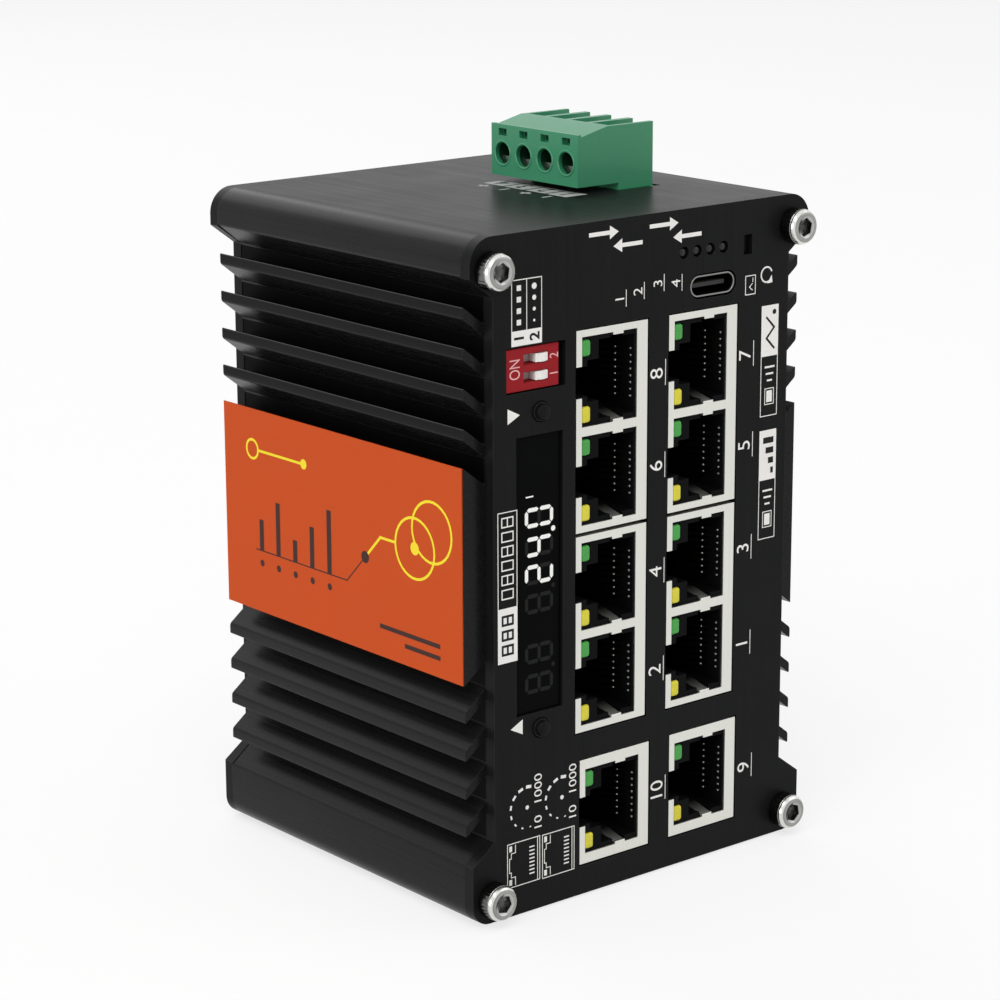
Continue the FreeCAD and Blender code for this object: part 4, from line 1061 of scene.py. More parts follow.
@dataclass
class Case:
    """Finned housing and the two end plates."""

    housing_round: float = 0.22
    plate_round: float = 0.22
    fin_round: float = 0.34
    fin_depth: float = 4.0
    fin_length: float = 20.0
    fins_top: float = 94.5
    tip_depth: float = 0.45
    rim_height: float = 0.2
    slack: float = 0.3
    over: float = 0.1
    roof_band: float = 1.0
    square: float = 0.99
    sloped: float = 0.2

    def build(self) -> None:
        """Round the edges of the case's pieces and dress them."""
        # The housing's and the plates' rounded edges take a lighter finish, as painted highlight.
        housing = rounded_copy("housing", self.housing_round, HOUSING,
                               edge=HOUSING_EDGE_HIGHLIGHT, runs=self.on_fin, run_width=self.fin_round)
        self.dress_roof(housing.data)
        self.dress_fins(housing.data)
        for node in ("front_panel", "rear_panel"):
            rounded_copy(node, self.plate_round, PANEL, edge=PANEL_EDGE_HIGHLIGHT)

    def on_fin(self, edge: bmesh.types.BMEdge) -> bool:
        """Find the edges along the fins, apart from the edges under the label's rims.

        Args:
            edge: An edge of the housing.

        Returns:
            Whether it is one of them.
        """
        label = Box.of("side_label")
        start, end = (corner.co / MM for corner in edge.verts)
        outside = abs(start.x) > abs(label.right) - self.fin_depth - self.slack
        rim = min(abs(start.z - label.bottom), abs(start.z - label.top)) < self.rim_height
        return outside and not rim and abs(end.y - start.y) > self.fin_length

    def dress_roof(self, mesh: bpy.types.Mesh) -> None:
        """Give the housing's flat top its own, duller finish.

        Args:
            mesh: The housing's mesh.
        """
        roof = add_finish(mesh, HOUSING_ROOF)
        low = (Box.of("housing").top - self.roof_band) * MM
        for polygon in mesh.polygons:
            if polygon.normal.z > self.square and polygon.center.z > low:
                polygon.material_index = roof

    def dress_fins(self, mesh: bpy.types.Mesh) -> None:
        """Give the fins' roots painted shade, and the upper fins painted shade on their tips under a
        painted highlight on their rims.

        Args:
            mesh: The housing's mesh.
        """
        label = Box.of("side_label")
        reach = abs(label.right)
        tip, rim, root = (add_finish(mesh, finish) for finish in (FIN_TIP_SHADE, FIN_RIM_HIGHLIGHT, FIN_ROOT_SHADE))
        for polygon in mesh.polygons:
            out, height = abs(polygon.center.x) / MM, polygon.center.z / MM
            slope = polygon.normal.z
            upright = abs(polygon.normal.x) > self.square
            at_tip = reach - self.tip_depth < out < reach + self.over
            # Painted shade on the root walls between the fins.
            if upright and abs(out - reach + self.fin_depth) < self.slack:
                polygon.material_index = root
            # Upper fins: painted highlight on the faces that slope up, painted shade on the tips.
            elif at_tip and label.top < height < self.fins_top:
                if slope > self.sloped:
                    polygon.material_index = rim
                elif upright or slope < -self.sloped:
                    polygon.material_index = tip


@dataclass
class CaseScrews:
    """Knurled socket-head screws in front, countersunk ones behind and low heads on the clip."""

    shank_radius: float = 1.45
    shank_length: float = 8.0
    chamfer: float = 0.3
    head_radius: float = 2.75
    head_height: float = 3.0
    knurl_depth: float = 0.06
    sunk_radius: float = 2.8
    sunk_depth: float = 2.0
    socket_radius: float = 1.45
    socket_depth: float = 1.1
    clip_plate: float = 3.0
    clip_height: float = 1.2
    clip_x: float = 12.0
    clip_below_top: float = 21.9
    count: int = 96
    smooth: float = 24.0
    turn: float = 0.5

    def build(self) -> None:
        """Build the three sets of screws."""
        heads = Box.of("front_screws")
        across = heads.right - self.head_radius
        heights = (heads.bottom + self.head_radius, heads.top - self.head_radius)
        corners = [(x, z) for x in (-across, across) for z in heights]
        middle = Box.of("rail_clip").top - self.clip_below_top
        on_clip = [(x, middle) for x in (-self.clip_x, self.clip_x)]
        front, back = Box.of("front_panel").front, Box.of("rear_panel").back
        plate = back + self.clip_plate
        for name, rings, way, y, spots, seed, replaced in (
                ("cap_screw", self.cap_screw(), Way.FRONT, front, corners, 4, ["front_screws"]),
                ("sunk_screw", self.sunk_screw(), Way.BACK, back, corners, 9, ["rear_screws"]),
                ("clip_screw", self.clip_screw(), Way.BACK, plate, on_clip, 3, [])):
            source = turned_piece(name, rings, self.count, way, SCREW, self.smooth)
            places = [(x, y, z) for x, z in spots]
            REPEAT.repeat(source, places, f"{name}s", SCREW, "steel", "case", replaced, self.turn,
                          seed)

    def head(self, top: float, radius: float, rows: Iterable[Point3]) -> list[Ring]:
        """Rings of a head, each by its way down and inwards and its tone of painted light."""
        return [Ring(top - down, radius - inward, tone) for down, inward, tone in rows]

    def shank(self, end: float) -> list[Ring]:
        """Rings of a screw's shank, up to a height."""
        start, radius = -self.shank_length, self.shank_radius
        return [Ring(start, radius - self.chamfer), Ring(start + self.chamfer, radius),
                Ring(end, radius)]

    def socket(self, top: float) -> list[Ring]:
        """Rings of a hexagon socket.

        Args:
            top: Height of the head's face.

        Returns:
            The rings from the face inwards.
        """
        radius, floor = self.socket_radius, top - self.socket_depth
        # Tones paint shade down the socket and a highlight on its rim.
        return [
            Ring(top, radius + 0.24, 0.4),
            Ring(top - 0.03, radius + 0.2, 0.62),
            Ring(top - 0.2, hexagon_radius(radius), 0.45),
            Ring(top - 0.3, hexagon_radius(radius - 0.01), 0.1),
            Ring(floor, hexagon_radius(radius - 0.06), 0.13),
            Ring(floor - 0.2, 0.3, 0.06),
        ]

    def cap_screw(self) -> list[Ring]:
        """Give the rings of a screw with a knurled head and a hexagon socket.

        Returns:
            The rings from the shank's end to the socket's floor.
        """
        radius, top = self.head_radius, self.head_height
        knurl = knurled_radius(radius, self.count // 3, self.knurl_depth)
        # Tones paint the knurled side in shade and the rounded rim of the crown as a highlight.
        side = [Ring(0.02, radius - 0.25, 0.05), Ring(0.15, knurl, 0.08),
                Ring(top - 0.95, knurl, 0.16)]
        crown = self.head(top, radius, (
            (0.85, 0.1, 0.4), (0.6, 0.08, 0.95), (0.32, 0.2, 1.0), (0.12, 0.42, 0.9),
            (0.06, 0.5, 0.3), (0.02, 0.58, 0.36), (0.0, 0.66, 0.42)))
        return self.shank(0.02) + side + crown + self.socket(top)

    def sunk_screw(self) -> list[Ring]:
        """Rings of a countersunk screw with a hexagon socket."""
        rows = ((0.18, 0.06, 0.4), (0.05, 0.08, 0.9), (0.0, 0.25, 0.6))
        return (self.shank(-self.sunk_depth) + self.head(0.0, self.sunk_radius, rows)
                + self.socket(0.0))

    def clip_screw(self) -> list[Ring]:
        """Rings of a low domed screw head on the rail clip."""
        top, wide = self.clip_height, self.sunk_radius
        return [
            Ring(-0.3, wide - 0.2, 0.4),
            Ring(0.15, wide - 0.1, 0.6),
            Ring(top * 0.55, wide - 0.3, 0.8),
            Ring(top * 0.85, wide - 0.75, 0.65),
            Ring(top, wide - 1.25, 0.6),
            Ring(top - 0.04, hexagon_radius(1.15), 0.4),
            Ring(top - 0.1, hexagon_radius(1.14), 0.1),
            Ring(top - 0.8, hexagon_radius(1.1), 0.1),
            Ring(top - 0.9, 0.3, 0.05),
        ]


@dataclass
class SideLabel:
    """Orange film on the plain band, with a plain drawing of linked rings."""

    line: float = 0.42
    stem_line: float = 0.2
    foot: float = -6.2

    def build(self) -> None:
        """Dress the film and print the drawing on it."""
        dress(LABEL, "side_label")
        film = Box.of("side_label")
        level = (film.left - Print.LIFT, 0, film.middle[2])
        dark = Print("label_drawing_dark", Surface.LEFT, level)
        self.stem(dark)
        dark.done(LABEL_DARK, "orange_label")
        yellow = Print("label_drawing_yellow", Surface.LEFT, level)
        self.rings(yellow)
        yellow.done(LABEL_YELLOW, "orange_label")

    def stem(self, drawing: Print) -> None:
        """Draw a row of bars and a thin stem with dots.

        Args:
            drawing: The dark drawing.
        """
        foot, line = self.foot, self.stem_line
        drawing.line((-21.5, foot), (2.0, foot), line)
        for step, height in enumerate((5.0, 8.5, 3.5, 6.5, 10.0)):
            x = -20.0 + step * 4.4
            drawing.rect((x - 0.55, foot), (x + 0.55, foot + height))
            drawing.disc((x, foot - 2.0), 0.55)
        drawing.line((2.0, foot), (6.2, foot + 4.2), line)
        drawing.disc((6.6, foot + 4.6), 0.95)
        drawing.rect((10.0, -11.8), (24.4, -11.1))
        drawing.rect((16.0, -13.6), (24.4, -12.9))

    def rings(self, drawing: Print) -> None:
        """Draw two linked rings at the end of a line.

        Args:
            drawing: The yellow drawing.
        """
        drawing.path([(6.6, -1.6), (10.4, 2.2), (14.0, 2.2)], self.line)
        drawing.ring((18.6, 2.2), 4.6, self.line)
        drawing.ring((22.6, 5.4), 4.6, self.line)
        drawing.disc((18.6, 2.2), 1.0)
        drawing.ring((-22.0, 9.8), 1.5, self.line)
        drawing.line((-20.4, 9.8), (-9.0, 9.8), self.line)
        drawing.disc((-8.6, 9.8), 0.8)


@dataclass
class PanelPrint:
    """White figures and signs on the front panel, drawn with the upper jacks' top at a set height.

    The white drawing and the dark one, which lies on its fields, are started by build.
    """

    jack_top: float = 87.6
    thin: float = 0.14
    figure: float = 2.5
    small_figure: float = 1.75
    speed_figure: float = 1.45
    white: Print = field(init=False)
    dark: Print = field(init=False)

    def build(self) -> None:
        """Print the panel in white, and the dark signs on the white fields."""
        face = Box.of("front_panel").front
        zero = Box.of("shield_upper_left").top - self.jack_top
        self.white = Print("panel_print_white", Surface.FRONT, (0, face - Print.LIFT, zero))
        self.dark = Print("panel_print_dark", Surface.FRONT, (0, face - 2 * Print.LIFT, zero))
        for draw in (self.switch_sign, self.slide_switch_key, self.display_key, self.lens_keys,
                     self.port_numbers, self.speed_arcs, self.port_signs, self.small_signs):
            draw()
        self.white.done(PRINT, "black_panel")
        self.dark.done(PRINT_DARK, "black_panel")

    def switch_sign(self) -> None:
        """Two pairs of arrows that pass each other, over the status lights."""
        for x, y, way in ((-8.6, 101.3, 1), (-3.6, 99.2, -1), (3.2, 101.3, 1), (8.2, 99.2, -1)):
            tip = x + way * 1.3
            self.white.line((x - way * 2.4, y), (tip, y), 0.62)
            self.white.pointer((tip, y), way * 1.7, 1.0)

    def slide_switch_key(self) -> None:
        """Two-row key above the slide switches: white squares with their numbers, and tick bars."""
        white = self.white
        white.frame((-25.9, 86.9), (-20.2, 96.5), self.thin)
        white.line((-23.05, 89.1), (-23.05, 96.4), self.thin)
        white.rect((-25.9, 86.9), (-20.2, 89.1))
        for x, words in ((-24.5, "1"), (-21.6, "2")):
            self.dark.text(words, (x, 88.0), self.small_figure, weight=0.025)
        for step in range(4):
            white.rect((-24.9, 89.9 + step * 1.65), (-24.1, 90.7 + step * 1.65))
            white.disc((-21.65, 90.3 + step * 1.65), 0.2 + 0.09 * step, 14)

    def display_key(self) -> None:
        """Key beside the display: a white field with dark bars and an outlined one with boxes."""
        white, dark = self.white, self.dark
        white.frame((-28.6, 40.3), (-24.9, 63.0), self.thin)
        white.rect((-28.6, 40.3), (-24.9, 48.6))
        for step in range(3):
            low = 41.4 + step * 2.25
            dark.frame((-27.9, low), (-25.6, low + 1.65), 0.36)
            dark.rect((-26.93, low + 0.3), (-26.57, low + 1.35))
        for step in range(6):
            low = 49.9 + step * 2.15
            white.frame((-27.9, low), (-25.6, low + 1.55), 0.2)
            if step % 2:
                white.rect((-26.85, low + 0.2), (-26.65, low + 1.35))
        for x, y, way in ((-25.5, 76.85, 1), (-25.1, 29.9, -1)):
            white.pointer((x - way * 1.15, y), way * 2.3, 1.15)

    def lens_keys(self) -> None:
        """Keys at the right edge: a lens and, in a white field, what it shows."""
        white, dark = self.white, self.dark
        left, right, tall = 23.7, 27.3, 17.3
        for low, busy in ((69.3, True), (49.8, False)):
            start = low + 9.4
            white.frame((left, low), (right, low + tall), self.thin)
            white.rect((left, start), (right, low + tall))
            white.frame((left + 0.9, low + 1.8), (left + 2.9, low + 4.4), self.thin)
            white.rect((left + 1.3, low + 2.2), (left + 2.5, low + 4.0))
            for step in range(3):
                y = low + 5.6 + step * 1.05
                half = 0.4 + 0.25 * step
                white.line((left + 1.9 - half, y), (left + 1.9 + half, y), 0.3)
            if busy:
                dark.path([(left + 2.7 - 1.6 * (step % 2), start + 1.2 + 1.6 * step)
                           for step in range(4)], 0.34)
                dark.disc((left + 2.7, start + 6.8), 0.4)
            else:
                for step in range(4):
                    y = start + 1.0 + step * 1.6
                    dark.rect((left + 3.0 - 0.55 * (step + 1), y), (left + 3.0, y + 0.95))

    def numbers(self, places: Iterable[tuple[str, float, float]], height: float, gap: float,
                half: float) -> None:
        """Draw numbers that read upwards, each on a thin line.

        Args:
            places: The numbers and their middles.
            height: Height of a figure.
            gap: Distance of the line from the middle.
            half: Half of the line's length.
        """
        for words, x, y in places:
            self.white.text(words, (x, y), height)
            self.white.line((x + gap, y - half), (x + gap, y + half), self.thin)

    def port_numbers(self) -> None:
        """Plain numbers beside the ports."""
        self.numbers((
            ("7", 20.3, 79.6), ("8", 2.1, 79.2), ("5", 20.4, 65.4), ("6", 2.15, 65.1),
            ("3", 20.5, 49.1), ("4", 2.2, 48.7), ("1", 20.6, 33.7), ("2", 2.25, 33.2),
            ("9", 21.4, 13.3), ("10", 2.9, 13.9)), self.figure, 1.8, 1.9)

    def speed_arcs(self) -> None:
        """Two arcs of growing dashes with a dot in the middle and plain numbers."""
        radius, steps = 3.2, 8
        for x, y in ((-23.1, 17.15), (-16.3, 17.15)):
            for step in range(steps):
                degrees = 281 - 28 * step
                spot = Vector(around((x, y), radius, degrees))
                half = Vector(around((0, 0), 0.06 + 0.03 * step, degrees - 90))
                self.white.line((spot - half)[:], (spot + half)[:], 0.18 + 0.045 * step)
            self.white.disc((x, y), 0.34, 14)
            for words, rise in (("10", -2.7), ("1000", 2.6)):
                self.white.text(words, (x + 2.1, y + rise), self.speed_figure, stretch=1.2)

    def port_signs(self) -> None:
        """Two outlines of a port with its lenses and contacts."""
        white, line = self.white, self.thin
        half_wall = ((1.6, 0.4), (1.6, 1.6), (0.8, 1.6), (0.8, 2.4), (0.45, 2.4))
        for left, low in ((-27.0, 5.2), (-20.2, 5.1)):
            right, high = left + 6.4, low + 7.0
            white.frame((left, low), (right, high), line)
            white.line((right - 0.5, low + line), (right - 0.5, high - line), line)
            white.rect((left + 0.4, low + 0.4), (left + 0.95, low + 1.3))
            white.rect((left + 0.4, high - 1.3), (left + 0.95, high - 0.4))
            lower = [(left + x, low + y) for x, y in half_wall]
            upper = [(left + x, high - y) for x, y in half_wall]
            white.path(lower + upper[::-1], line)
            for step in range(8):
                y = low + 1.4 + step * 0.6
                white.rect((right - 2.1, y - 0.11), (right - 1.1, y + 0.11))

    def small_signs(self) -> None:
        """Numbers under the status lights, a screen by the socket and a turn sign by the reset."""
        white, line = self.white, self.thin
        self.numbers((("1", -5.3, 91.3), ("2", -1.75, 92.0), ("3", 2.2, 92.7), ("4", 5.8, 92.3)),
                     self.small_figure, 1.25, 1.2)
        white.frame((20.1, 88.7), (22.3, 91.7), line)
        white.path([(21.6, 89.4), (21.0, 89.9), (21.6, 90.4)], line)
        white.line((21.7, 90.7), (21.7, 91.2), line)
        white.ring((24.6, 91.4), 1.15, 0.26, 20, 320)
        white.shape([(24.75, 90.0), (25.85, 90.1), (25.7, 91.3)])


@dataclass
class TopPrint:
    """Pole numbers and signs beside the power terminal."""

    poles: int = 4
    pole_pitch: float = 5.0
    shift: float = -1.2
    gap: float = 0.25
    figure: float = 3.0
    strip: Point2 = (1.5, 5.9)
    signs_x: float = -0.3
    sign_reach: float = 1.0
    stem_reach: float = 1.1
    half_line: float = 0.28

    def build(self) -> None:
        """Print the poles' numbers on a white strip, and their signs beside it."""
        top = Box.of("front_panel").top
        middle = Box.of("terminal_plug").middle[1] + self.shift
        left, right = self.strip
        x, reach, line = self.signs_x, self.sign_reach, self.half_line
        half = self.pole_pitch / 2 - self.gap
        white = Print("roof_print_white", Surface.TOP, (0, 0, top + Print.LIFT))
        dark = Print("roof_print_dark", Surface.TOP, (0, 0, top + 2 * Print.LIFT))
        for step, y in enumerate(spaced(middle, self.poles, self.pole_pitch)):
            white.rect((left, y - half), (right, y + half))
            dark.text(str(step + 1), ((left + right) / 2, y), self.figure)
            white.rect((x - reach, y - line), (x + reach, y + line))
            if step % 2:
                for way in (-1, 1):
                    ends = sorted((y + way * line, y + way * self.stem_reach))
                    white.rect((x - line, ends[0]), (x + line, ends[1]))
        white.done(PRINT_FAINT, "black_aluminium")
        dark.done(PRINT_DARK, "black_aluminium")


@dataclass
class PortJacks:
    """Six shielded jacks with ten ports."""

    doubles: tuple[str, ...] = ("upper_left", "upper_right", "lower_left", "lower_right")
    singles: tuple[str, ...] = ("uplink_left", "uplink_right")
    port_pitch: float = 14.8
    contact_pitch: float = 1.02
    contacts: int = 8
    shield_round: float = 0.14
    lens_round: float = 0.5
    lens_steps: int = 3
    contact_corners: int = 8
    contact_smooth: float = 60.0
    # Bends and ends of the contacts, bright as painted glints.
    bend_place: Point2 = (10.8, 3.8)
    bend: tuple[Point2, ...] = (
        (-0.24, 0.08), (-0.17, 0.16), (0.0, 0.2), (0.17, 0.16), (0.24, 0.08))
    end_place: Point2 = (11.5, 1.15)
    end: tuple[Point2, ...] = ((-0.2, 0.14), (0.1, 0.2), (0.2, 0.12))

    def ports(self) -> list[Point3]:
        """Find the ports.

        Returns:
            Left edge, front and middle height of the ten ports.
        """
        places = []
        for name in self.doubles + self.singles:
            shield = Box.of(f"shield_{name}")
            count = 2 if name in self.doubles else 1
            for z in spaced(shield.middle[2], count, self.port_pitch):
                places.append((shield.left, shield.front, z))
        return places

    def build(self) -> None:
        """Dress the jacks, with the contacts in painted shade, and add bright bends and ends on them
        as painted glints.
        """
        for name in self.doubles + self.singles:
            rounded_copy(f"shield_{name}", self.shield_round, TIN)
            dress(INSERT, f"insert_{name}")
            dress(CONTACT_PAINTED_SHADE, f"contacts_{name}")
        for colour, finish in (("green", GREEN_LENS), ("yellow", YELLOW_LENS)):
            rounded_copy(f"port_lenses_{colour}", self.lens_round, finish,
                         steps=self.lens_steps)
        # Bright bends and ends, as painted glints on the shaded contacts.
        for name, profile, (reach, depth), finish in (
                ("contact_bend", self.bend, self.bend_place, CONTACT_BEND_GLINT),
                ("contact_end", self.end, self.end_place, CONTACT_END_GLINT)):
            places = [(left + reach, front + depth, z) for left, front, middle in self.ports()
                      for z in spaced(middle, self.contacts, self.contact_pitch)]
            source = turned_piece(name, profile, self.contact_corners, Way.FRONT, finish,
                                  self.contact_smooth)
            REPEAT.repeat(source, places, f"{name}s", finish, "gold")


@dataclass
class ManagementCorner:
    """Socket, status lights and the recessed reset button."""

    shell_round: float = 0.1
    reset_round: float = 0.15
    dome_round: float = 0.65
    dome_steps: int = 6
    tongue_contacts: int = 12
    contact_pitch: float = 0.5
    contact_depth: float = 0.4
    contact_length: float = 2.7
    contact_half: Point2 = (0.13, 0.03)

    def build(self) -> None:
        """Dress the corner and add the tongue's contacts."""
        # The shell darkens into the socket as painted shade.
        rounded_copy("usb_shell", self.shell_round, SOCKET_TIN)
        rounded_copy("usb_tongue", self.shell_round, TONGUE)
        rounded_copy("status_lights", self.dome_round, SMOKED_LENS,
                     steps=self.dome_steps)
        rounded_copy("reset_button", self.reset_round, KEYCAP, "reset_button")
        dress(KEYCAP, "reset_switch")
        dress(MASK, "management_board")
        tongue = Box.of("usb_tongue")
        row = spaced(tongue.middle[0], self.tongue_contacts, self.contact_pitch)
        depth = tongue.front + self.contact_depth
        places = [(x, depth, z) for z in (tongue.bottom, tongue.top) for x in row]
        REPEAT.repeat(self.strip(), places, "tongue_contacts", GOLD, "gold")

    def strip(self) -> bpy.types.Object:
        """Make one flat contact of the tongue.

        Returns:
            The contact.
        """
        piece = Piece("tongue_contact")
        wide, thick = self.contact_half
        outline = [(-wide, 0, -thick), (wide, 0, -thick), (wide, 0, thick), (-wide, 0, thick)]
        piece.prism(outline, (0, self.contact_length, 0))
        return piece.done(GOLD)


@dataclass
class SlideSwitch:
    """Red two-way slide switch with white sliders."""

    body_round: float = 0.15
    slider_round: float = 0.25
    slot_width: float = 1.5
    slot_depth: float = 1.6
    slot_pitch: float = 2.6
    travel: float = 2.1
    word_place: Point2 = (1.6, 0.1)
    word_height: float = 1.95
    word_stretch: float = 0.7
    figure_place: float = 0.95
    figure_height: float = 1.6
    figure_stretch: float = 0.8

    def build(self) -> None:
        """Dress the switch and print its figures."""
        rounded_copy("dip_body", self.body_round, RED)
        for number in (1, 2):
            slider = f"dip_slider_{number}"
            rounded_copy(slider, self.slider_round, WHITE, slider)
        body, slider = Box.of("dip_body"), Box.of("dip_slider_1")
        middle = body.middle[2]
        level = body.front - Print.LIFT
        rose = Print("slide_switch_print", Surface.FRONT, (0, level, 0))
        pale = Print("slide_switch_slots", Surface.FRONT, (0, level + self.slot_depth, 0))
        across, rise = self.word_place
        rose.text("ON", (body.left + across, middle + rise), self.word_height,
                  stretch=self.word_stretch)
        half = self.slot_width / 2
        for words, z in zip("12", spaced(middle, 2, self.slot_pitch)):
            rose.text(words, (body.right - self.figure_place, z), self.figure_height,
                      stretch=self.figure_stretch)
            pale.rect((slider.left - self.travel, z - half), (slider.right, z + half))
        rose.done(PRINT_ROSE, "red_moulding")
        pale.done(SLOT_PALE, "red_moulding")


@dataclass
class DigitDisplay:
    """Smoked window with a column of digits that read upwards."""

    window_round: float = 0.12
    shift: float = 0.25
    digit_height: float = 5.4
    digit_width: float = 3.0
    stroke: float = 0.62
    gap: float = 0.1
    digits: tuple[tuple[float, str], ...] = (
        (4.3, ""), (8.9, ""), (16.5, ""), (20.9, "2"), (25.1, "4"), (29.5, "0"))
    lit_dot: Point2 = (27.3, 0.42)
    dim_dots: tuple[Point2, ...] = ((6.6, 0.36), (18.7, 0.36))
    dot_corners: int = 12
    dash: float = 32.7
    dash_ends: Point2 = (-2.4, -1.2)
    dash_line: float = 0.22
    CODES: ClassVar[dict[str, str]] = {"0": "abcdef", "2": "abged", "4": "fgbc", "": ""}

    def build(self) -> None:
        """Dress the window and draw lit and unlit segments."""
        rounded_copy("display_window", self.window_round, GLASS)
        dress(KEYCAP, "display_module")
        window = Box.of("display_window")
        middle = window.middle[0] + self.shift
        plane = (0, window.front - Print.LIFT, window.bottom)
        lit = Print("display_segments_lit", Surface.FRONT, plane)
        dim = Print("display_segments_dim", Surface.FRONT, plane)
        for height, figure in self.digits:
            for name in "abcdefg":
                drawing = lit if name in self.CODES[figure] else dim
                self.segment(drawing, (middle, height), name)
        self.dot(lit, middle, self.lit_dot)
        start, end = self.dash_ends
        lit.line((middle + start, self.dash), (middle + end, self.dash), self.dash_line)
        for place in self.dim_dots:
            self.dot(dim, middle, place)
        lit.done(SEGMENT_LIT, "display_glass")
        dim.done(SEGMENT_DIM, "display_glass")

    def dot(self, drawing: Print, middle: float, place: Point2) -> None:
        """Draw a dot at the digits' foot, given its height in the column and its radius."""
        height, radius = place
        drawing.disc((middle + self.digit_height / 2, height), radius, self.dot_corners)

    def segment(self, drawing: Print, middle: Point2, name: str) -> None:
        """Draw one bar of a digit.

        Args:
            drawing: The lit or the unlit drawing.
            middle: Middle of the digit.
            name: Letter of the bar, from a at the digit's top to g in its middle.
        """
        wide = self.digit_width / 2 - self.stroke / 2
        tall = self.digit_height / 2 - self.stroke / 2
        ends = {
            "a": ((-wide, tall), (wide, tall)), "g": ((-wide, 0), (wide, 0)),
            "d": ((-wide, -tall), (wide, -tall)), "f": ((-wide, 0), (-wide, tall)),
            "b": ((wide, 0), (wide, tall)), "e": ((-wide, -tall), (-wide, 0)),
            "c": ((wide, -tall), (wide, 0)),
        }
        first, last = (Vector(end) for end in ends[name])
        way = (last - first).normalized()
        side = Vector((-way.y, way.x)) * self.stroke / 2
        gap = way * self.gap
        nick = way * (self.stroke / 2 + self.gap)
        outline = (first + gap, first + nick - side, last - nick - side, last - gap,
                   last - nick + side, first + nick + side)
        drawing.shape([(middle[0] - point.y, middle[1] + point.x) for point in outline])


@dataclass
class PushButtons:
    """Two round push buttons and the board that they press on."""

    cap_round: float = 0.3
    cap_steps: int = 3
    knob_radius: float = 1.2
    knob_height: float = 0.8
    knob_corners: int = 36
    knob_smooth: float = 50.0

    def build(self) -> None:
        """Dress the buttons, each with a domed knob, and what stands behind them."""
        for node in ("upper_button", "lower_button"):
            rounded_copy(node, self.cap_round, KEYCAP, node, self.cap_steps)
            cap = Box.of(node)
            place = (cap.middle[0], cap.front, cap.middle[2])
            REPEAT.repeat(self.knob(), [place], f"{node}_knob", KNOB, "black_moulding", node)
        dress(KEYCAP, "button_switches")
        dress(MASK, "display_board")
        dress(STEEL, "display_spacers")

    def knob(self) -> bpy.types.Object:
        """Make the domed knob on a button's face, towards the front.

        Returns:
            The knob.
        """
        wide, top = self.knob_radius, self.knob_height
        profile = ((-0.1, wide), (top - 0.25, wide - 0.04), (top - 0.08, wide - 0.14),
                   (top, wide - 0.36))
        return turned_piece("button_knob", profile, self.knob_corners, Way.FRONT, KNOB,
                            self.knob_smooth)


